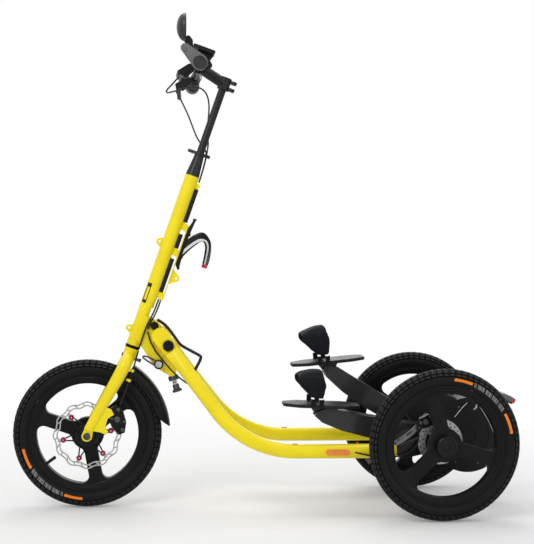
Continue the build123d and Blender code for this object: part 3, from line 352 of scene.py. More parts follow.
# more finishes
tyreRubber = mouldedMaterial("tyreRubber", (0.0038, 0.0046, 0.0042), (0.0070, 0.0080, 0.0074), 0.50, 1500,
                             0.30, 0.14)
treadRubber = mouldedMaterial("treadRubber", (0.009, 0.0095, 0.0095), (0.016, 0.0165, 0.0165), 0.62, 1500,
                              0.35, 0.3)
markOrange = mouldedMaterial("markOrange", (0.86, 0.20, 0.010), (0.95, 0.27, 0.016), 0.5, 1200, 0.1)
markGrey = mouldedMaterial("markGrey", (0.22, 0.22, 0.22), (0.34, 0.34, 0.34), 0.5, 1200, 0.1)
cageWhite = mouldedMaterial("cageWhite", (0.66, 0.66, 0.67), (0.78, 0.78, 0.79), 0.3, 900, 0.08)
cageRed = mouldedMaterial("cageRed", (0.62, 0.010, 0.012), (0.72, 0.016, 0.018), 0.3, 900, 0.08)
lampGrey = mouldedMaterial("lampGrey", (0.11, 0.11, 0.115), (0.16, 0.16, 0.165), 0.36)
cableSleeve = mouldedMaterial("cableSleeve", (0.010, 0.010, 0.011), (0.018, 0.018, 0.019), 0.38, 1800, 0.1)
decalBlack = mouldedMaterial("decalBlack", (0.010, 0.010, 0.010), (0.016, 0.016, 0.016), 0.35, 900, 0.05)


def lensMaterial(name, dark, light, cell):
    # a moulded reflector lens with rows of small cells
    material, tree, shader, coords = newMaterial(name)
    cloudedColour(tree, shader, coords, 60, 2, dark, light)
    cells = tree.nodes.new("ShaderNodeTexVoronoi")
    cells.inputs["Scale"].default_value = cell
    cells.inputs["Randomness"].default_value = 0.1
    tree.links.new(coords.outputs["Object"], cells.inputs["Vector"])
    variedRoughness(tree, shader, cells.outputs["Distance"], 0.12, 0.3)
    shader.inputs["Coat Weight"].default_value = 0.6
    bumpOf(tree, shader, cells.outputs["Distance"], 0.5, 0.0006)
    return material


orangeLens = lensMaterial("orangeLens", (0.80, 0.20, 0.008), (0.90, 0.27, 0.012), 420)
redLens = lensMaterial("redLens", (0.42, 0.006, 0.012), (0.55, 0.010, 0.02), 420)


def clothMaterial(name, dark, light, thread, sheen):
    # woven cloth, as two crossed sets of threads
    material, tree, shader, coords = newMaterial(name)
    cloudedColour(tree, shader, coords, 40, 5, dark, light, 0.75)
    shader.inputs["Roughness"].default_value = 0.82
    shader.inputs["Specular IOR Level"].default_value = 0.15
    shader.inputs["Sheen Weight"].default_value = sheen
    shader.inputs["Sheen Roughness"].default_value = 0.4
    waves = []
    for direction in ("X", "Z"):
        wave = tree.nodes.new("ShaderNodeTexWave")
        wave.wave_type = "BANDS"
        wave.bands_direction = direction
        wave.inputs["Scale"].default_value = thread
        wave.inputs["Distortion"].default_value = 0.6
        wave.inputs["Detail"].default_value = 1
        tree.links.new(coords.outputs["Object"], wave.inputs["Vector"])
        waves.append(wave.outputs["Fac"])
    bumpOf(tree, shader, mathOf(tree, "MULTIPLY", *waves), 0.5, 0.0005)
    return material


padFabric = clothMaterial("padFabric", (0.0040, 0.0046, 0.0070), (0.0075, 0.0085, 0.0125), 230, 0.05)
webbing = clothMaterial("webbing", (0.0045, 0.0045, 0.005), (0.0085, 0.0085, 0.009), 180, 0.05)
print("finishes made")

# tyres with their tread blocks and plain printed marks
tyreSettings = {
    "steps": 72, "blockRise": 0.0032, "groove": 0.0019, "treadStart": 0.1812,
    "twist": (0.0, 2.6, 0.6, 2.2), "markRadius": (0.1708, 0.1778), "markSide": 0.02345,
    "greyRadius": (0.1686, 0.1796), "strokes": 30, "strokeWidths": (0.80, 0.50), "strokeLean": 1.2,
}
tyreHalf = [(0.1584, 0.0160), (0.1592, 0.0184), (0.1612, 0.0196), (0.1628, 0.0197), (0.1636, 0.0210),
            (0.1672, 0.0224), (0.1705, 0.0231), (0.1750, 0.0233), (0.1788, 0.0231), (0.1806, 0.0226),
            (0.1816, 0.0200), (0.1888, 0.0174), (0.1943, 0.0108), (0.1968, 0.0)]
marks = {
    "front": {"orange": ((193, 210), (251, 266)), "grey": (213, 247)},
    "left": {"orange": ((68, 83), (12, 29)), "grey": (32, 65)},
    "right": {"orange": ((201, 216), (255, 272)), "grey": (219, 252)},
}


def makeTyre(key):
    wheel = wheels[key]
    centre = wheel["centre"]
    bm = bmesh.new()
    profile = tyreHalf + [(radius, -side) for radius, side in reversed(tyreHalf[:-1])]
    turned(bm, profile, frameAt(centre, (0, 1, 0)), tyreSettings["steps"], closed=True)
    bmesh.ops.remove_doubles(bm, verts=bm.verts, dist=0.00002)
    bmesh.ops.recalc_face_normals(bm, faces=bm.faces)
    for vert in bm.verts:
        offset = vert.co - centre
        radius = math.hypot(offset.x, offset.z)
        if radius > tyreSettings["treadStart"]:
            ring = min(range(4), key=lambda k: abs(abs(offset.y) - tyreHalf[-1 - k][1]))
            turn = Matrix.Rotation(radians(tyreSettings["twist"][ring]), 3, "Y")
            vert.co = centre + turn @ offset
    tread = []
    for face in bm.faces:
        offset = face.calc_center_median() - centre
        if math.hypot(offset.x, offset.z) > tyreSettings["treadStart"] + 0.002:
            tread.append(face)
    bmesh.ops.inset_individual(bm, faces=tread, thickness=tyreSettings["groove"],
                               depth=tyreSettings["blockRise"], use_even_offset=True)
    for face in tread:
        face.material_index = 1
    tyre = meshObject(wheel["tyre"] + "_tread", bm, tyreRubber, wheel["body"], angle=30)
    tyre.data.materials.append(treadRubber)
    finishPiece(tyre, "tyre_rubber", wheel["tyre"])
    for hand in sideNames:
        addMarks(key, centre, hand)


def addMarks(key, centre, hand):
    # plain bars and slanted strokes printed on a sidewall
    low, high = tyreSettings["markRadius"]
    side = hand * tyreSettings["markSide"]
    wheel = wheels[key]

    def at(angle, radius):
        turn = radians(angle)
        return centre + Vector((cos(turn) * radius, side, sin(turn) * radius))

    bm = bmesh.new()
    for number, (start, stop) in enumerate(marks[key]["orange"]):
        edge = [bm.verts.new(at(start, low)), bm.verts.new(at(start, high))]
        line = bm.edges.new(edge)
        steps = int(abs(stop - start))
        bmesh.ops.spin(bm, geom=edge + [line], cent=centre, axis=(0, -1, 0), dvec=(0, 0, 0),
                       angle=radians(stop - start), steps=steps, use_merge=False, use_duplicate=False)
        ends = start if number else stop
        middle = (low + high) / 2
        dot = bmesh.ops.create_circle(bm, cap_ends=True, segments=20, radius=(high - low) * 0.62,
                                      matrix=frameAt(at(ends, middle), (0, hand, 0)))
        bmesh.ops.translate(bm, verts=dot["verts"], vec=(0, hand * 0.00005, 0))
    newPiece(f"{wheel['tyre']}_bars_{sideNames[hand]}", bm, markOrange, wheel["body"], "reflector_orange")
    bm = bmesh.new()
    start, stop = marks[key]["grey"]
    low, high = tyreSettings["greyRadius"]
    lean = tyreSettings["strokeLean"]
    for stroke in range(tyreSettings["strokes"]):
        angle = start + (stop - start) * stroke / (tyreSettings["strokes"] - 1)
        if stroke % 7 == 6:
            continue
        width = tyreSettings["strokeWidths"][1 if stroke % 3 else 0]
        spots = ((0, low), (width, low), (width + lean, high), (lean, high))
        bm.faces.new([bm.verts.new(at(angle + step, radius)) for step, radius in spots])
    newPiece(f"{wheel['tyre']}_strokes_{sideNames[hand]}", bm, markGrey, wheel["body"], "tyre_rubber")


for key in wheels:
    makeTyre(key)
print("tyres made")

# wheels: eased castings, stepped rim rings and hub caps
rimSteps = [(0.1364, 0.0118), (0.1388, 0.0136), (0.1394, 0.0148), (0.1418, 0.0154), (0.1424, 0.0147),
            (0.1466, 0.0161), (0.1472, 0.0175), (0.1500, 0.0180), (0.1505, 0.0174), (0.1552, 0.0175),
            (0.1556, 0.0183), (0.1578, 0.0183), (0.1582, 0.0165), (0.1560, 0.0120)]
hubCap = [(0.0, -0.001), (0.0262, -0.001), (0.0262, 0.0010), (0.0248, 0.0020), (0.0212, 0.0020),
          (0.0204, 0.0008), (0.0150, 0.0008), (0.0142, 0.0018), (0.0100, 0.0024), (0.0094, 0.0012),
          (0.0, 0.0012)]
frontCap = [(0.0222, -0.010), (0.0235, -0.009), (0.0235, -0.004), (0.0225, -0.003), (0.0218, -0.004)]
valveStem = [(0, 0.1075), (0.0030, 0.1075), (0.0046, 0.1085), (0.0046, 0.1150), (0.0040, 0.1156),
             (0.0044, 0.1165), (0.0044, 0.1370)]
wheelSettings = {"frontFace": 0.0496, "rearFace": 0.239, "valveAngle": 217,
                 "parkedTurn": {"front": 0, "left": 0, "right": 80}}  # degrees that each wheel has rolled on
for key, wheel in wheels.items():
    centre, body, outward = wheel["centre"], wheel["body"], (0, wheel["hand"], 0)
    rolled = wheelSettings["parkedTurn"][key]
    rim = roundedCopy(body, wheelPaint, body, 0.0022, 3, "wheel_black")
    hubPlace = Matrix.Translation(centre)
    rim.data.transform(hubPlace @ Matrix.Rotation(radians(rolled), 4, "Y") @ hubPlace.inverted())
    bm = bmesh.new()
    for hand in sideNames:
        turned(bm, rimSteps, frameAt(centre, (0, hand, 0)), 120, closed=True)
    newPiece(f"rim_rings_{key}", bm, wheelPaint, body, "wheel_black", 28)
    bm = bmesh.new()
    if key == "front":
        turned(bm, frontCap, frameAt(centre + Vector((0, wheelSettings["frontFace"], 0)), (0, 1, 0)), 48,
               closed=True)
    else:
        face = wheel["hand"] * wheelSettings["rearFace"] - centre.y
        turned(bm, hubCap, frameAt(centre + Vector((0, face, 0)), outward), 64)
        addBolt(bm, centre + Vector((0, face + wheel["hand"] * 0.0008, 0)), outward, 0.0066, 0.0030, 32)
    newPiece(f"hub_cap_{key}", bm, glossBlack, body, "wheel_black", 28)
    valveTurn = radians(wheelSettings["valveAngle"] - rolled)
    bm = bmesh.new()
    turned(bm, valveStem, frameAt(centre, (cos(valveTurn), 0, sin(valveTurn))), 20)
    newPiece(f"valve_{key}", bm, blackPlastic, body, "black_plastic")
print("wheels made")

# front rotor rivets and the bolts of the calipers and axles
rivetSettings = {"circle": 0.064, "first": 11, "head": 0.0068, "plane": -0.0390}
bm = bmesh.new()
bmCentre = bmesh.new()
for number in range(6):
    turn = radians(rivetSettings["first"] + 60 * number)
    seat = frontCentre + Vector((cos(turn), 0, sin(turn))) * rivetSettings["circle"]
    seat.y = rivetSettings["plane"]
    turned(bm, [(0, 0.0), (rivetSettings["head"], 0.0), (rivetSettings["head"], 0.0012),
                (rivetSettings["head"] * 0.72, 0.0030), (0.0031, 0.0032), (0.0027, 0.0022), (0, 0.0022)],
           frameAt(seat, (0, -1, 0)), 24)
    turned(bm, [(0, 0.0), (0.0062, 0.0), (0.0055, 0.0016), (0, 0.0016)],
           frameAt(seat + Vector((0, 0.0052, 0)), (0, 1, 0)), 20)
    turned(bmCentre, [(0, 0.0022), (0.0026, 0.0024), (0.0020, 0.0036), (0, 0.0038)],
           frameAt(seat, (0, -1, 0)), 16)
newPiece("rotor_rivets", bm, redAnodised, "front_wheel", "bare_steel")
newPiece("rotor_rivet_centres", bmCentre, bareSteel, "front_wheel", "bare_steel")

bm = bmesh.new()
for x, z, radius in ((82, 70, 0.0052), (94, 16, 0.0052), (66, 46, 0.0038), (98, 38, 0.0036),
                     (80, 44, 0.0080)):
    addBolt(bm, fromAxle(x, 200 + z, -49.4), (0, -1, 0), radius, 0.0028)
newPiece("front_caliper_bolts", bm, darkSteel, "steering", "bare_steel", 28)
bm = bmesh.new()
for hand in (-1, 1):
    for x, z, radius in ((-30, 66, 0.0045), (-56, 52, 0.0045), (-42, 54, 0.0075)):
        addBolt(bm, Vector((0.442 + x / 1000, hand * 0.1722, 0.2 + z / 1000)), (0, hand, 0), radius, 0.0026)
newPiece("rear_caliper_bolts", bm, darkSteel, "chassis", "bare_steel", 28)
print("small fixings made")

# CAD nodes that keep their own shape
for name in ("head_tube", "fork", "beam_left", "beam_right"):
    paintNode(name, yellowPaint)
for name in ("steering_post", "handlebar", "axle_tube"):
    paintNode(name, blackPaint)
for name in ("rear_rotor_left", "rear_rotor_right"):
    paintNode(name, rotorSteel)
paintNode("cable_covers", blackPlastic)
paintNode("grips", gripRubber)

# front rotor as two waved bands with slanted bars, and its spider of twin arms
rotorSettings = {"waves": 12, "bands": (0.0868, 0.0772), "swing": 0.0026, "band": 0.0036, "thickness": 0.0020,
                 "plane": -0.0380, "bars": 24, "armPlane": -0.0355, "armFoot": 0.0240}


def onFrontWheel(angle, radius, side):
    turn = radians(angle)
    return Vector((frontCentre.x + cos(turn) * radius, side, frontCentre.z + sin(turn) * radius))


def flatBar(bm, start, end, width, thickness):
    # a flat bar between two points of a plane square to Y
    way = end - start
    turn = Matrix.Rotation(-math.atan2(way.z, way.x), 3, "Y")
    addBlock(bm, (start + end) / 2, (way.length, thickness, width), turn, min(width, thickness) * 0.15, 1)


def wavedBand(bm, radius):
    grid = bmesh.ops.create_grid(bm, x_segments=240, y_segments=1, size=0.5)["verts"]
    for vert in grid:
        angle = (vert.co.x + 0.5) * 360
        wave = rotorSettings["swing"] * cos(radians(angle) * rotorSettings["waves"])
        vert.co = onFrontWheel(angle, radius + wave + vert.co.y * rotorSettings["band"],
                               rotorSettings["plane"])
    bmesh.ops.remove_doubles(bm, verts=grid, dist=0.00002)


bm = bmesh.new()
rotorPlane, armPlane = rotorSettings["plane"], rotorSettings["armPlane"]
for radius in rotorSettings["bands"]:
    wavedBand(bm, radius)
bmesh.ops.recalc_face_normals(bm, faces=bm.faces)
bmesh.ops.solidify(bm, geom=bm.faces[:], thickness=rotorSettings["thickness"])
meanSide = sum(vert.co.y for vert in bm.verts) / len(bm.verts)
bmesh.ops.translate(bm, verts=bm.verts, vec=(0, rotorPlane - meanSide, 0))
for number in range(rotorSettings["bars"]):
    angle = 360 / rotorSettings["bars"] * number + 3
    flatBar(bm, onFrontWheel(angle, 0.0775, rotorPlane), onFrontWheel(angle + 5.5, 0.0865, rotorPlane),
            0.0034, 0.0018)
bmArms = bmesh.new()
for number in range(6):
    angle = rivetSettings["first"] + 60 * number
    flatBar(bm, onFrontWheel(angle, 0.0690, rotorPlane), onFrontWheel(angle, 0.0790, rotorPlane), 0.0085,
            0.0018)
    turned(bm, [(0.0050, -0.0010), (0.0078, -0.0010), (0.0078, 0.0010), (0.0050, 0.0010)],
           frameAt(onFrontWheel(angle, rivetSettings["circle"], rotorPlane), (0, -1, 0)), 28, closed=True)
    for lean in (-30, 30):
        flatBar(bmArms, onFrontWheel(angle + lean, rotorSettings["armFoot"], armPlane),
                onFrontWheel(angle + lean * 0.05, rivetSettings["circle"], armPlane), 0.0036, 0.0030)
    turned(bmArms, [(0, -0.0015), (0.0064, -0.0015), (0.0068, 0.0), (0.0064, 0.0015), (0, 0.0015)],
           frameAt(onFrontWheel(angle, rivetSettings["circle"], armPlane), (0, -1, 0)), 24)
newPiece("front_rotor_waved", bm, rotorSteel, "front_wheel", "bare_steel", 30, "front_rotor")
turned(bmArms, [(0.0062, 0.0), (0.0300, 0.0), (0.0305, 0.0012), (0.0300, 0.0030), (0.0235, 0.0034),
                (0.0220, 0.0100), (0.0200, 0.0115), (0.0150, 0.0120), (0.0062, 0.0120)],
       frameAt(frontCentre + Vector((0, -0.0340, 0)), (0, -1, 0)), 48, closed=True)
newPiece("rotor_spider_arms", bmArms, blackAnodised, "front_wheel", "black_paint", 30, "rotor_spider")
print("rotor made")

# front fender: a deep arched shell with a pointed tail
fenderSettings = {"start": 56.0, "end": 5.6, "skin": 0.0022, "tailStart": 17.0,
                  "edgeRadius": 0.1925, "depth": 0.0304, "halfWidth": 0.031}
fenderHalf = [(0.1925, 0.0308), (0.2010, 0.0312), (0.2100, 0.0288), (0.2168, 0.0225), (0.2212, 0.0120),
              (0.2229, 0.0)]


def makeFender():
    outer = fenderHalf + [(radius, -side) for radius, side in reversed(fenderHalf[:-1])]
    skin, start, end = (fenderSettings[k] for k in ("skin", "start", "end"))
    inner = []
    for radius, side in outer:
        share = 0.25 + 0.75 * (radius - fenderSettings["edgeRadius"]) / fenderSettings["depth"]
        inner.append((radius - skin * share, side * (1 - skin / fenderSettings["halfWidth"])))
    bm = bmesh.new()
    place = Matrix.Translation(frontCentre) @ Matrix.Rotation(-radians(start), 4, "Y")
    place = place @ Matrix.Rotation(radians(-90), 4, "X")
    points = [bm.verts.new(place @ Vector((radius, 0, side))) for radius, side in outer + inner[::-1]]
    edges = [bm.edges.new(pair) for pair in zip(points, points[1:] + points[:1])]
    bmesh.ops.spin(bm, geom=points + edges, cent=frontCentre, axis=(0, 1, 0), dvec=(0, 0, 0),
                   angle=radians(start - end), steps=44, use_merge=False, use_duplicate=False)
    for vert in bm.verts:
        offset = vert.co - frontCentre
        radius = math.hypot(offset.x, offset.z)
        turn = math.atan2(offset.z, offset.x)
        tail = fenderSettings["tailStart"]
        fade = max(0, min(1, (tail - math.degrees(turn)) / (tail - end)))
        lift = max(0, 0.2225 - radius) * fade * fade * 0.9
        vert.co += Vector((cos(turn), 0, sin(turn))) * lift
        vert.co.y *= 1 - 0.25 * fade * fade
    bmesh.ops.holes_fill(bm, edges=[edge for edge in bm.edges if edge.is_boundary])
    newPiece("front_fender_shell", bm, fenderPlastic, "steering", "black_plastic", 40, "front_fender")


makeFender()
for hand, side in sideNames.items():
    bead = [frontCentre + Vector((cos(radians(a)) * 0.1925, hand * 0.0305, sin(radians(a)) * 0.1925))
            for a in range(17, 57, 3)]
    wirePiece(f"fender_bead_{side}", bead, 0.0011, glossBlack, "steering", "black_plastic")
print("fender made")

# foot pads, blown up from the CAD solids with a little pressure
padSettings = {"voxel": 0.0045, "shrink": 0.0024, "pressure": 4.0, "frames": 20, "cap": 0.0085,
               "rise": {"left": 0.002, "right": 0.009}, "belly": 0.0075,
               "seamSide": 0.040, "seamDepth": 0.0014, "seamWidth": 0.0035}


def evaluatedMesh(piece):
    graph = bpy.context.evaluated_depsgraph_get()
    return bpy.data.meshes.new_from_object(piece.evaluated_get(graph), depsgraph=graph)


def makePad(side, armSide):
    pad = mergedCopy(f"foot_pad_{side}", "_cushion")
    even = pad.modifiers.new("even", "REMESH")
    even.mode = "VOXEL"
    even.voxel_size = padSettings["voxel"]
    pad.data = evaluatedMesh(pad)
    pad.modifiers.clear()
    for vert in pad.data.vertices:
        vert.co = vert.co - vert.normal * padSettings["shrink"]
    start = [vert.co.copy() for vert in pad.data.vertices]
    cloth = pad.modifiers.new("air", "CLOTH")
    cloth.settings.use_pressure = True
    cloth.settings.uniform_pressure_force = padSettings["pressure"]
    cloth.settings.effector_weights.gravity = 0
    cloth.settings.tension_stiffness = 20
    cloth.settings.compression_stiffness = 20
    cloth.settings.bending_stiffness = 0.6
    cloth.point_cache.frame_start = 1
    cloth.point_cache.frame_end = padSettings["frames"]
    for number in range(1, padSettings["frames"] + 1):
        bpy.context.scene.frame_set(number)
    blown = evaluatedMesh(pad)
    pad.modifiers.clear()
    for vert, moved, was in zip(pad.data.vertices, blown.vertices, start):
        shift = moved.co - was
        if shift.length > padSettings["cap"]:
            shift = shift.normalized() * padSettings["cap"]
        vert.co = was + shift
    heights = [vert.co.z for vert in pad.data.vertices]
    lengths = [vert.co.x for vert in pad.data.vertices]
    foot, top = min(heights), max(heights)
    nose, tail = min(lengths), max(lengths)
    for vert in pad.data.vertices:
        share = (vert.co.z - foot) / (top - foot)
        ahead = (tail - vert.co.x) / (tail - nose)
        vert.co.z += padSettings["rise"][side] * share
        vert.co.x -= padSettings["belly"] * ahead * sin(pi * min(1, share * 1.25)) * 0.8
    bm = bmesh.new()
    bm.from_mesh(pad.data)
    for _ in range(3):
        bmesh.ops.smooth_vert(bm, verts=bm.verts, factor=0.5, use_axis_x=True, use_axis_y=True,
                              use_axis_z=True)
    bmesh.ops.recalc_face_normals(bm, faces=bm.faces)
    bm.normal_update()
    for vert in bm.verts:
        gap = abs(abs(vert.co.y - armSide) - padSettings["seamSide"])
        if gap < padSettings["seamWidth"]:
            vert.co -= vert.normal * padSettings["seamDepth"] * (1 - gap / padSettings["seamWidth"])
    bm.to_mesh(pad.data)
    bm.free()
    pad.data.materials.clear()
    pad.data.materials.append(padFabric)
    for face in pad.data.polygons:
        face.use_smooth = True
    finer = pad.modifiers.new("finer", "SUBSURF")
    finer.levels = finer.render_levels = 1
    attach(pad, f"pedal_{side}")
    finishPiece(pad, "pad_fabric", f"foot_pad_{side}")


for side, armSide in (("left", -0.072), ("right", 0.072)):
    makePad(side, armSide)
bpy.context.scene.frame_set(1)
print("foot pads made")

# straps, soles and arms with eased edges
for side in ("left", "right"):
    roundedCopy(f"foot_strap_{side}", webbing, f"pedal_{side}", 0.0008, 2, "strap_webbing")
    roundedCopy(f"pedal_sole_{side}", blackPlastic, f"pedal_{side}", 0.0022, 3, "black_plastic")
    roundedCopy(f"pedal_arm_{side}", armPaint, f"pedal_arm_{side}", 0.0130, 1, "black_paint")
    roundedCopy(f"pedal_bracket_{side}", armPaint, f"pedal_{side}", 0.0015, 2, "black_paint")
for node, material, body, width, slotName in (
    ("bar_horns", hornPlastic, "steering", 0.0045, "horn_grey"),
    ("mirror", mirrorShell, "steering", 0.0016, "black_plastic"),
    ("display", blackPlastic, "steering", 0.0014, "black_plastic"),
    ("stem", blackPaint, "steering", 0.0012, "black_paint"),
    ("brake_levers", blackPlastic, "steering", 0.0014, "black_paint"),
    ("cable_hook", blackPaint, "steering", 0.0012, "black_paint"),
    ("front_caliper", blackAnodised, "steering", 0.0014, "black_paint"),
    ("rear_calipers", blackAnodised, "chassis", 0.0014, "black_paint"),
    ("lock_knob", darkSteel, "chassis", 0.0009, "bare_steel"),
    ("hinge_block", yellowPaint, "chassis", 0.0014, "frame_yellow"),
    ("hinge_pins", blackAnodised, "chassis", 0.0012, "bare_steel"),
    ("column_lugs", yellowPaint, "front_frame", 0.0008, "frame_yellow"),
    ("cable_rail", yellowPaint, "front_frame", 0.0008, "frame_yellow"),
    ("rear_carriers", blackPaint, "chassis", 0.0020, "black_paint"),
    ("torque_arms", linkSteel, "chassis", 0.0007, "bare_steel"),
    ("drive_housing", blackPlastic, "chassis", 0.0030, "black_plastic"),
    ("beam_reflectors", orangeLens, "chassis", 0.0010, "reflector_orange"),
    ("headset_ring", blackAnodised, "steering", 0.0008, "black_paint"),
):
    roundedCopy(node, material, body, width, 2, slotName)
print("edges eased")

# brake cables: smooth curves on the routes of the CAD, back and along the steering axis and across, in mm
cableRadius = 0.0022
cableRoutes = {
    "cable_brake_left": ("steering", (
        (-120, 957, -143), (-125, 946, -138), (-132, 932, -124), (-139, 921, -98), (-138, 917, -68),
        (-122, 930, -38), (-88, 960, -4), (-60, 973, 24), (-37, 966, 38), (-22, 944, 41), (-13, 917, 38),
        (-8, 892, 32), (1, 866, 22), (13, 834, 8), (17.5, 806, -2.5), (20.5, 782, -3.2), (22.5, 756, -3),
        (23, 726, -3.2))),
    "cable_brake_right": ("steering", (
        (-120, 955, 141), (-111, 945, 130), (-93, 928, 113), (-64, 896, 84), (-38, 862, 55), (-17, 836, 31),
        (17.6, 812, 4.6), (20, 780, 3), (22.5, 756, 3.2), (23, 726, 3))),
    "cable_front_upper": ("front_frame", (
        (24, 392, -3), (24, 380, -8), (23.5, 365, -18), (21.5, 347, -27.5), (16.8, 316, -28.8),
        (16.6, 284, -29),
        (17.4, 252, -29.3))),
    "cable_front": ("steering", (
        (18, 244, -29.5), (18.5, 228, -32), (20, 207, -37), (21, 181, -42), (20.5, 150, -44.5),
        (20.5, 120, -43.5), (20.2, 91, -40))),
    "cable_rear_upper": ("front_frame", (
        (30, 391, -3), (30.2, 379, -8), (29.5, 365, -18), (27.5, 346, -28), (22.6, 326, -29),
        (23.4, 308, -29.6))),
    "cable_rear": ("chassis", (
        (24.2, 302, -29.8), (31, 291, -30.5), (43, 275, -32), (60, 260, -33.5), (79, 248, -35.5),
        (98, 236, -38), (119, 224, -41.5), (144, 213, -47), (170, 206, -57))),
}
for node, (body, route) in cableRoutes.items():
    places = [onColumn(back, station, y) for back, station, y in route]
    wirePiece(node + "_sleeve", places, cableRadius, cableSleeve, body, "cable_black", node)
print("cables laid")

# bottle cage: a black backbone and two arms banded black and white with red tips
cageSettings = {"axis": 77, "radius": 41.0, "gap": 7.0, "wall": 0.0032, "steps": 44, "tipFrom": 0.93}
cageOuter = ((44, 566), (60, 588), (78, 602), (100, 590), (111, 572), (117, 540), (117, 512))
cageInner = ((44, 520), (54, 540), (68, 562), (84, 579), (97, 568), (103, 540), (106, 512))
cageSpine = ((36, 495), (36, 600), (43, 626), (49, 626), (44, 560), (48, 495), (51, 486), (45, 484))


def alongPath(points, share):
    place = min(share, 0.9999) * (len(points) - 1)
    number = int(place)
    part = place - number
    row = [Vector(points[max(0, min(len(points) - 1, number + k))]) for k in (-1, 0, 1, 2)]
    bend = (row[2] - row[0]) * 0.5
    bendNext = (row[3] - row[1]) * 0.5
    cube, square = part ** 3, part ** 2
    return (row[1] * (2 * cube - 3 * square + 1) + bend * (cube - 2 * square + part)
            + row[2] * (3 * square - 2 * cube) + bendNext * (cube - square))


def addPrism(bm, outline, push):
    # A flat outline pushed out along one way.
    face = bm.faces.new([bm.verts.new(point) for point in outline])
    grown = bmesh.ops.extrude_face_region(bm, geom=[face])["geom"]
    bmesh.ops.translate(bm, verts=[v for v in grown if isinstance(v, bmesh.types.BMVert)], vec=push)


for hand, side in sideNames.items():
    bm = bmesh.new()
    grid = bmesh.ops.create_grid(bm, x_segments=cageSettings["steps"], y_segments=6, size=0.5)["verts"]
    faceBands = {}
    for face in bm.faces:
        middle = face.calc_center_median()
        tip = middle.x + 0.5 > cageSettings["tipFrom"]
        edge = middle.y > 0.08 or middle.y < -0.40
        faceBands[face] = 2 if tip else (0 if edge else 1)
    for vert in grid:
        share, across = vert.co.x + 0.5, vert.co.y + 0.5
        spot = alongPath(cageInner, share).lerp(alongPath(cageOuter, share), across)
        depth = cageSettings["radius"] ** 2 - (spot.x - cageSettings["axis"]) ** 2
        reach = max(cageSettings["gap"], math.sqrt(max(0, depth)))
        vert.co = onColumn(spot.x, spot.y, hand * reach)
    for face, band in faceBands.items():
        face.material_index = band
    arm = meshObject(f"cage_arm_{side}", bm, glossBlack, "front_frame", angle=50)
    arm.data.materials.append(cageWhite)
    arm.data.materials.append(cageRed)
    wall = arm.modifiers.new("wall", "SOLIDIFY")
    wall.thickness = cageSettings["wall"]
    wall.offset = hand
    addBevel(arm, 0.0009, 2, 50)
    if hand < 0:
        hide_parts("bottle_cage")
bm = bmesh.new()
addPrism(bm, [onColumn(back, station, -9) for back, station in cageSpine], (0, 0.018, 0))
addPrism(bm, [onColumn(back, station, -13) for back, station in ((41, 622), (41, 630), (51, 630), (51, 626))],
         (0, 0.026, 0))
spine = meshObject("cage_backbone", bm, glossBlack, "front_frame", angle=35)
addBevel(spine, 0.0016, 2, 35)
finishPiece(spine, "black_plastic", "bottle_cage")
bm = bmesh.new()
for station in (520, 584):
    addBolt(bm, onColumn(46, station, 0), backColumn, 0.0048, 0.0026)
newPiece("cage_bolts", bm, darkSteel, "front_frame", "bare_steel", 28)
print("bottle cage made")

# hinge: ringed pin heads, bolt caps, quick release, lock knob and lift handle
hingeSettings = {"bolt": (214, 442), "latch": (189, 389), "capFace": 59.0}
bm = bmesh.new()
for hand in (-1, 1):
    seat = fromAxle(*hingeSettings["bolt"], hand * hingeSettings["capFace"])
    turned(bm, [(0, 0.0012), (0.0052, 0.0012), (0.0060, 0.0026), (0.0086, 0.0026), (0.0092, 0.0008),
                (0.0118, 0.0008), (0.0122, 0.0018), (0.0140, 0.0014), (0.0150, -0.0012), (0, -0.0012)],
           frameAt(seat, (0, hand, 0)), 48, closed=True)
newPiece("bolt_cap_rings", bm, glossBlack, "chassis", "bare_steel", 28)

bm = bmesh.new()
bmNut = bmesh.new()
latchLeft = fromAxle(*hingeSettings["latch"], -27)
addRod(bmNut, fromAxle(*hingeSettings["latch"], -33), fromAxle(*hingeSettings["latch"], 33), 0.0040, 24)
turned(bmNut,
       [(0, -0.0005), (0.0086, -0.0005), (0.0092, 0.0006), (0.0092, 0.0052), (0.0080, 0.0064), (0, 0.0066)],
       frameAt(latchLeft, (0, -1, 0)), 40)
turned(bmNut, [(0, 0.0), (0.0085, 0.0), (0.0085, 0.0050), (0.0070, 0.0062), (0, 0.0062)],
       frameAt(fromAxle(*hingeSettings["latch"], 27), (0, 1, 0)), 6)
turned(bm, [(0.0092, 0.0004), (0.0128, 0.0004), (0.0130, 0.0040), (0.0118, 0.0050), (0.0092, 0.0050)],
       frameAt(latchLeft, (0, -1, 0)), 40, closed=True)
newPiece("quick_release_collar", bm, blackAnodised, "front_frame", "black_paint", 28)
newPiece("quick_release_nut", bmNut, bareSteel, "front_frame", "bare_steel", 28, "quick_release")
leverLoop = [fromAxle(x, z, y) for x, z, y in (
    (184, 397, -31), (168, 406, -32), (152, 413, -33), (145, 410, -33), (154, 402, -32), (170, 392, -31),
    (182, 384, -31))]
wirePiece("quick_release_lever", leverLoop, 0.0024, darkSteel, "front_frame", "bare_steel")

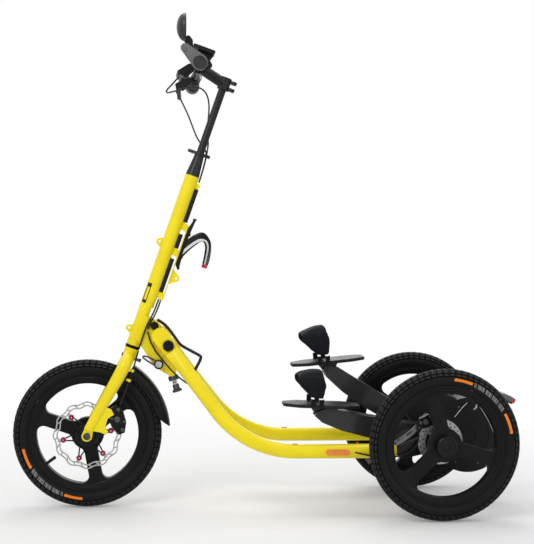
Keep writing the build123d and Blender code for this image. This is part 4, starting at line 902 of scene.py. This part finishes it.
knobSettings = {"seat": (224, 368), "tilt": 17.0, "start": 13.2}
knobTurn = radians(knobSettings["tilt"])
knobWay = Vector((sin(knobTurn), 0, -cos(knobTurn)))
knobFoot = fromAxle(*knobSettings["seat"]) + knobWay * knobSettings["start"] / 1000
bm = bmesh.new()
turned(bm, [(0, 0), (0.0128, 0), (0.0140, 0.0012), (0.0140, 0.0100), (0.0126, 0.0118), (0.0075, 0.0122),
            (0, 0.0122)], frameAt(knobFoot, knobWay), 40)
turned(bm, [(0, 0.0245), (0.0072, 0.0245), (0.0080, 0.0300), (0.0086, 0.0372), (0.0124, 0.0392),
            (0.0130, 0.0408), (0.0130, 0.0432), (0.0120, 0.0448), (0, 0.0450)],
            frameAt(knobFoot, knobWay), 40)
newPiece("lock_knob_grips", bm, blackPlastic, "chassis", "black_plastic", 30, "lock_knob")
bm = bmesh.new()
turned(bm,
       [(0, 0.011), (0.0062, 0.011), (0.0062, 0.0170), (0.0050, 0.0180), (0.0062, 0.0190), (0.0062, 0.0260),
            (0, 0.0260)], frameAt(knobFoot, knobWay), 32)
newPiece("lock_knob_shaft", bm, bareSteel, "chassis", "bare_steel", 30, "lock_knob")

handleRoute = [fromAxle(x, z) for x, z in (
    (184, 508), (200, 499), (214, 485), (232, 461), (246, 441), (256, 434), (294, 414), (304, 408), (303,
                                                                                                     400),
    (292, 378), (284, 364))]
wirePiece("lift_handle_bent", handleRoute, 0.0042, blackPaint, "chassis", "black_paint", "lift_handle",
          rounding=8)
barEnds = [fromAxle(284, 362, y) for y in (-59, 0, 59)]
wirePiece("lift_handle_bar", barEnds, 0.0048, blackPaint, "chassis", "black_paint")
print("hinge details made")

# a bare framed panel printed on the column
panelSettings = {"stations": (371, 427), "backs": (-17.0, -6.0), "radius": 19.0,
                 "frameLow": 9, "frameHigh": 11, "frameSide": 2.3}


def columnPatch(name, stations, backs, proud, material, slotName):
    bm = bmesh.new()
    grid = bmesh.ops.create_grid(bm, x_segments=12, y_segments=8, size=0.5)["verts"]
    for vert in grid:
        station = stations[0] + (vert.co.x + 0.5) * (stations[1] - stations[0])
        back = backs[0] + (vert.co.y + 0.5) * (backs[1] - backs[0])
        reach = math.sqrt((panelSettings["radius"] + proud) ** 2 - back ** 2)
        vert.co = onColumn(back, station, -reach)
    newPiece(name, bm, material, "front_frame", slotName)


low, high = panelSettings["stations"]
front, rear = panelSettings["backs"]
inset = panelSettings["frameSide"]
columnPatch("panel_border", (low, high), (front, rear), 0.12, decalBlack, "black_plastic")
columnPatch("panel_middle", (low + panelSettings["frameLow"], high - panelSettings["frameHigh"]),
            (front + inset, rear - inset), 0.22, yellowPaint, "frame_yellow")

# fork: crown screw, rear bracket, cable guides and axle nuts
columnLean = Matrix.Rotation(pi / 2 - headAngle, 3, "Y")
bm = bmesh.new()
addBolt(bm, onColumn(-17.5, 220), -backColumn, 0.0052, 0.0040)
addBlock(bm, onColumn(23, 218, 0), (0.014, 0.016, 0.008), columnLean, 0.0015)
turned(bm, [(0, 0), (0.0056, 0), (0.0056, 0.0042), (0.0046, 0.0050), (0, 0.0050)],
       frameAt(onColumn(29, 218, 0), backColumn), 6)
for hand in (-1, 1):
    turned(bm, [(0, -0.001), (0.0098, -0.001), (0.0098, 0.0014), (0.0090, 0.0018), (0.0076, 0.0018),
                (0.0072, 0.0058), (0.0060, 0.0070), (0.0042, 0.0070), (0.0040, 0.0040), (0, 0.0040)],
           frameAt(fromAxle(0, 200, hand * 57.0), (0, hand, 0)), 36)
newPiece("fork_fixings", bm, darkSteel, "steering", "bare_steel", 28, "front_axle")
bm = bmesh.new()
addRod(bm, fromAxle(0, 200, -60), fromAxle(0, 200, 60), 0.0058, 24)
newPiece("front_axle_rod", bm, bareSteel, "steering", "bare_steel", 28, "front_axle")
bm = bmesh.new()
for back, station, y in ((20.5, 190, -40.6), (20.9, 163, -43.6)):
    turned(bm, [(0.0026, -0.0035), (0.0040, -0.0035), (0.0042, -0.0028), (0.0042, 0.0028), (0.0040, 0.0035),
                (0.0026, 0.0035)], frameAt(onColumn(back, station, y), upColumn), 24, closed=True)
    addBlock(bm, onColumn(back - 5, station, y), (0.006, 0.004, 0.006), columnLean, 0.0006)
newPiece("fork_cable_guides", bm, yellowPaint, "steering", "frame_yellow", 30)

# side beams: end plugs on top, the cable to each rear brake
bm = bmesh.new()
for hand in (-1, 1):
    made = bmesh.ops.create_circle(bm, cap_ends=True, segments=28, radius=1.0)["verts"]
    bmesh.ops.scale(bm, verts=made, vec=(0.0085, 0.0034, 1))
    bmesh.ops.translate(bm, verts=made, vec=fromAxle(549, 189.3, hand * 132))
    faces = list({face for vert in made for face in vert.link_faces})
    grown = bmesh.ops.extrude_face_region(bm, geom=faces)["geom"]
    bmesh.ops.translate(bm, verts=[v for v in grown if isinstance(v, bmesh.types.BMVert)], vec=(0, 0, 0.0016))
plugs = meshObject("beam_plugs", bm, blackPlastic, "chassis", angle=30)
addBevel(plugs, 0.0006, 2, 40)
for hand, side in sideNames.items():
    route = [fromAxle(x, z, hand * y) for x, z, y in (
        (706, 171, 150.0), (726, 166, 153.2), (760, 160, 154.4), (800, 158, 155), (836, 163, 155.5),
        (862, 178, 157), (878, 205, 160), (870, 240, 162))]
    wirePiece(f"rear_brake_line_{side}", route, cableRadius, cableSleeve, "chassis", "cable_black")
print("fork and beam details made")

# torque links: slots, end bolts
bm = bmesh.new()
bmBolt = bmesh.new()
for hand in (-1, 1):
    for x, z, radius in ((812, 194, 0.0040), (822, 203, 0.0030), (898, 270, 0.0036)):
        addBolt(bmBolt, fromAxle(x, z, hand * 151.6), (0, hand, 0), radius, 0.0026)
    for start, end in (((842, 214), (856, 226)), ((874, 243), (886, 258))):
        addRod(bm, fromAxle(*start, hand * 152.0), fromAxle(*end, hand * 152.0), 0.0016, 12)
newPiece("torque_link_slots", bm, decalBlack, "chassis", "bare_steel", 28)
newPiece("torque_link_bolts", bmBolt, darkSteel, "chassis", "bare_steel", 28)

# drive housing: cover rings, bolts, and two thin bright steel wires laid where the housing's edge catches
# light, as painted highlights
housingSettings = {"centre": (1040, 196), "face": 39.0, "rings": (92, 60, 24), "bolts": 8, "boltCircle": 82}
bm = bmesh.new()
bmBolt = bmesh.new()
for hand in (-1, 1):
    seat = fromAxle(*housingSettings["centre"], hand * housingSettings["face"])
    for ring in housingSettings["rings"]:
        radius = ring / 1000
        turned(bm, [(radius - 0.0030, -0.0010), (radius - 0.0024, 0.0010), (radius, 0.0014),
                    (radius + 0.0024, 0.0010), (radius + 0.0030, -0.0010)],
               frameAt(seat, (0, hand, 0)), 72, closed=True)
    for number in range(housingSettings["bolts"]):
        turn = radians(360 / housingSettings["bolts"] * number + 20)
        place = seat + Vector((cos(turn), 0, sin(turn))) * housingSettings["boltCircle"] / 1000
        addBolt(bmBolt, place, (0, hand, 0), 0.0036, 0.0022)
newPiece("housing_rings", bm, blackPlastic, "chassis", "black_plastic", 30)
newPiece("housing_bolts", bmBolt, darkSteel, "chassis", "bare_steel", 28)
# painted highlights: bright steel wires drawn along the housing's edge where it catches light, not real
# wiring
highlightWires = {
    "highlight_wire_long": ((1038, 298), (1052, 296), (1066, 281), (1082, 258), (1098, 232), (1112, 200)),
    "highlight_wire_short": ((1036, 286), (1026, 276), (1012, 260), (1001, 246)),
}
for name, route in highlightWires.items():
    wirePiece(name, [fromAxle(x, z, -40.6) for x, z in route], 0.0009, bareSteel, "chassis", "bare_steel")
# a small clip and bolt holding the painted-highlight wires
bm = bmesh.new()
addBlock(bm, fromAxle(1058, 270, -40.4), (0.012, 0.003, 0.004), Matrix.Rotation(radians(-40), 3, "Y"), 0.0006)
addBolt(bm, fromAxle(1061, 277, -40.6), (0, -1, 0), 0.0034, 0.0024)
newPiece("highlight_wire_clip", bm, bareSteel, "chassis", "bare_steel", 30)

# the belt cover between the axle and the drum
coverOutline = ((900, 214), (868, 250), (862, 280), (880, 301), (925, 313), (985, 309), (1010, 296),
                (1000, 214))
bm = bmesh.new()
addPrism(bm, [fromAxle(x, z, -37) for x, z in coverOutline], (0, 0.074, 0))
beltCover = meshObject("belt_cover", bm, blackPlastic, "chassis", angle=30)
addBevel(beltCover, 0.0060, 3, 30)

# tail light: grey body, red lens and dark base
lampSettings = {"centre": (1158, 293), "tilt": 24.0}
lampTurn = Matrix.Rotation(radians(lampSettings["tilt"]), 3, "Y")
lampCentre = fromAxle(*lampSettings["centre"])
lampBlocks = (
    ("body", lampGrey, "black_plastic", (-0.0045, 0, 0.0010), (0.033, 0.047, 0.0165), 0.0045, 3,
     ("tail_light",)),
    ("lens", redLens, "lamp_red", (0.0145, 0, 0.0006), (0.0125, 0.0445, 0.0150), 0.0038, 3, ()),
    ("base", blackPlastic, "black_plastic", (-0.0020, 0, -0.0080), (0.034, 0.040, 0.0050), 0.0014, 2, ()),
)
for name, material, slotName, offset, size, edge, segments, replaced in lampBlocks:
    bm = bmesh.new()
    addBlock(bm, lampCentre + lampTurn @ Vector(offset), size, lampTurn, edge, segments)
    newPiece(f"tail_light_{name}", bm, material, "chassis", slotName, 40, *replaced)
print("rear details made")

# handlebar: horn spots, grip caps, stem bolts, display knob and mirror
barSettings = {"hornSpot": (245.4, 1198.2), "gripCap": (283.9, 1166.5), "outer": 281.0}
bm = bmesh.new()
bmCap = bmesh.new()
for hand in (-1, 1):
    spot = fromAxle(*barSettings["hornSpot"], hand * (barSettings["outer"] - 5))
    turned(bm, [(0, 0.0052), (0.0052, 0.0052), (0.0062, 0.0044), (0.0066, 0.0), (0, 0.0)],
           frameAt(spot, (0, hand, 0)), 32)
    cap = fromAxle(*barSettings["gripCap"], hand * (barSettings["outer"] + 0.4))
    turned(bmCap, [(0, 0.0014), (0.0100, 0.0014), (0.0110, 0.0022), (0.0138, 0.0022), (0.0150, 0.0008),
                   (0.0150, -0.0030), (0, -0.0030)], frameAt(cap, (0, hand, 0)), 48)
newPiece("horn_spots", bm, lampGrey, "steering", "horn_grey", 30)
newPiece("grip_caps", bmCap, capRubber, "steering", "grip_rubber", 30)
bm = bmesh.new()
for station in (992, 1010):
    for y in (-9, 9):
        addBolt(bm, onColumn(17.0, station, y), backColumn, 0.0036, 0.0040)
newPiece("stem_bolts", bm, darkSteel, "steering", "bare_steel", 28)
bm = bmesh.new()
knobFace = fromAxle(316, 1192, -34)
turned(bm,
       [(0, -0.012), (0.0046, -0.012), (0.0050, 0.0), (0.0082, 0.0010), (0.0088, 0.0030), (0.0088, 0.0080),
            (0.0076, 0.0098), (0, 0.0102)], frameAt(knobFace, (0, -1, 0)), 28)
addBlock(bm, fromAxle(313, 1200, -22), (0.016, 0.022, 0.014), Matrix.Rotation(radians(24), 3, "Y"), 0.002)
newPiece("display_knob", bm, glossBlack, "steering", "black_plastic", 30)
mirrorSettings = {"face": (250.0, 1270.0), "y": -173.0, "radius": 0.0335}
mirrorStalk = ((245, 1246), (258, 1250), (268, 1238), (269, 1219), (255, 1223), (246, 1233))
bm = bmesh.new()
turned(bm, [(0, 0.0003), (mirrorSettings["radius"], 0.0003), (mirrorSettings["radius"] + 0.0008, -0.0008),
            (0, -0.0008)], frameAt(fromAxle(*mirrorSettings["face"], mirrorSettings["y"]), (1, 0, 0)), 56)
newPiece("mirror_glass", bm, mirrorGlass, "steering", "black_plastic", 30)
bm = bmesh.new()
addPrism(bm, [fromAxle(x, z, mirrorSettings["y"] - 4) for x, z in mirrorStalk], (0, 0.012, 0))
stalk = meshObject("mirror_stalk_cover", bm, blackPlastic, "steering", angle=30)
addBevel(stalk, 0.0022, 2, 30)
print("handlebar details made")

# floor, world and lamps
stageSettings = {"floorLevel": -0.0006, "floorSize": 14, "floorColour": (0.86, 0.86, 0.86),
                 "shadowShare": 0.84, "clearFrom": 0.75, "clearAt": 1.7, "worldLevel": 0.42}


def makeStage():
    bm = bmesh.new()
    bmesh.ops.create_grid(bm, x_segments=1, y_segments=1, size=stageSettings["floorSize"])
    bmesh.ops.translate(bm, verts=bm.verts, vec=(0, 0, stageSettings["floorLevel"]))
    material, tree, shader, coords = newMaterial("floorCard")
    rampOf(tree, noiseOf(tree, coords, 3, 2),
           [(0.2, stageSettings["floorColour"]), (0.8, (0.88, 0.88, 0.88))],
           shader.inputs["Base Color"])
    shader.inputs["Roughness"].default_value = 0.9
    glow = tree.nodes.new("ShaderNodeEmission")
    glow.inputs["Color"].default_value = (1, 1, 1, 1)
    path = tree.nodes.new("ShaderNodeLightPath")
    reach = tree.nodes.new("ShaderNodeVectorMath")
    reach.operation = "LENGTH"
    tree.links.new(coords.outputs["Object"], reach.inputs[0])
    clear = rangeOf(tree, reach.outputs["Value"], 1 - stageSettings["shadowShare"], 1.0,
                    stageSettings["clearFrom"], stageSettings["clearAt"])
    mix = tree.nodes.new("ShaderNodeMixShader")
    tree.links.new(mathOf(tree, "MULTIPLY", path.outputs["Is Camera Ray"], clear), mix.inputs["Fac"])
    tree.links.new(shader.outputs["BSDF"], mix.inputs[1])
    tree.links.new(glow.outputs["Emission"], mix.inputs[2])
    tree.links.new(mix.outputs["Shader"], tree.nodes["Material Output"].inputs["Surface"])
    meshObject("floor", bm, material, None, angle=0)
    world = bpy.data.worlds.new("studio")
    bpy.context.scene.world = world
    world.use_nodes = True
    tree = world.node_tree
    backing = tree.nodes["Background"]
    backing.inputs["Color"].default_value = (1, 1, 1, 1)
    rays = tree.nodes.new("ShaderNodeLightPath")
    shine = mathOf(tree, "MAXIMUM", rays.outputs["Is Transmission Ray"], rays.outputs["Is Glossy Ray"])
    seen = mathOf(tree, "MAXIMUM", rays.outputs["Is Camera Ray"], shine)
    tree.links.new(rangeOf(tree, seen, stageSettings["worldLevel"], 1.0), backing.inputs["Strength"])
    lamps = (
        ("keyLamp", (-1.7, -2.3, 2.6), 1.6, 46),
        ("fillLamp", (2.2, -2.2, 1.6), 1.8, 14),
        ("topLamp", (0.1, 0.6, 3.0), 2.2, 34),
        ("rimLamp", (0.4, 2.6, 1.6), 1.6, 16),
    )
    for name, place, size, power in lamps:
        data = bpy.data.lights.new(name, "AREA")
        data.size = size
        data.energy = power
        lamp = placed(name, data)
        aim = Vector((0, 0, 0.45)) - Vector(place)
        lamp.matrix_world = Matrix.Translation(place) @ aim.to_track_quat("-Z", "Y").to_matrix().to_4x4()


makeStage()
bpy.context.scene.view_settings.view_transform = "Standard"
print("stage lit")
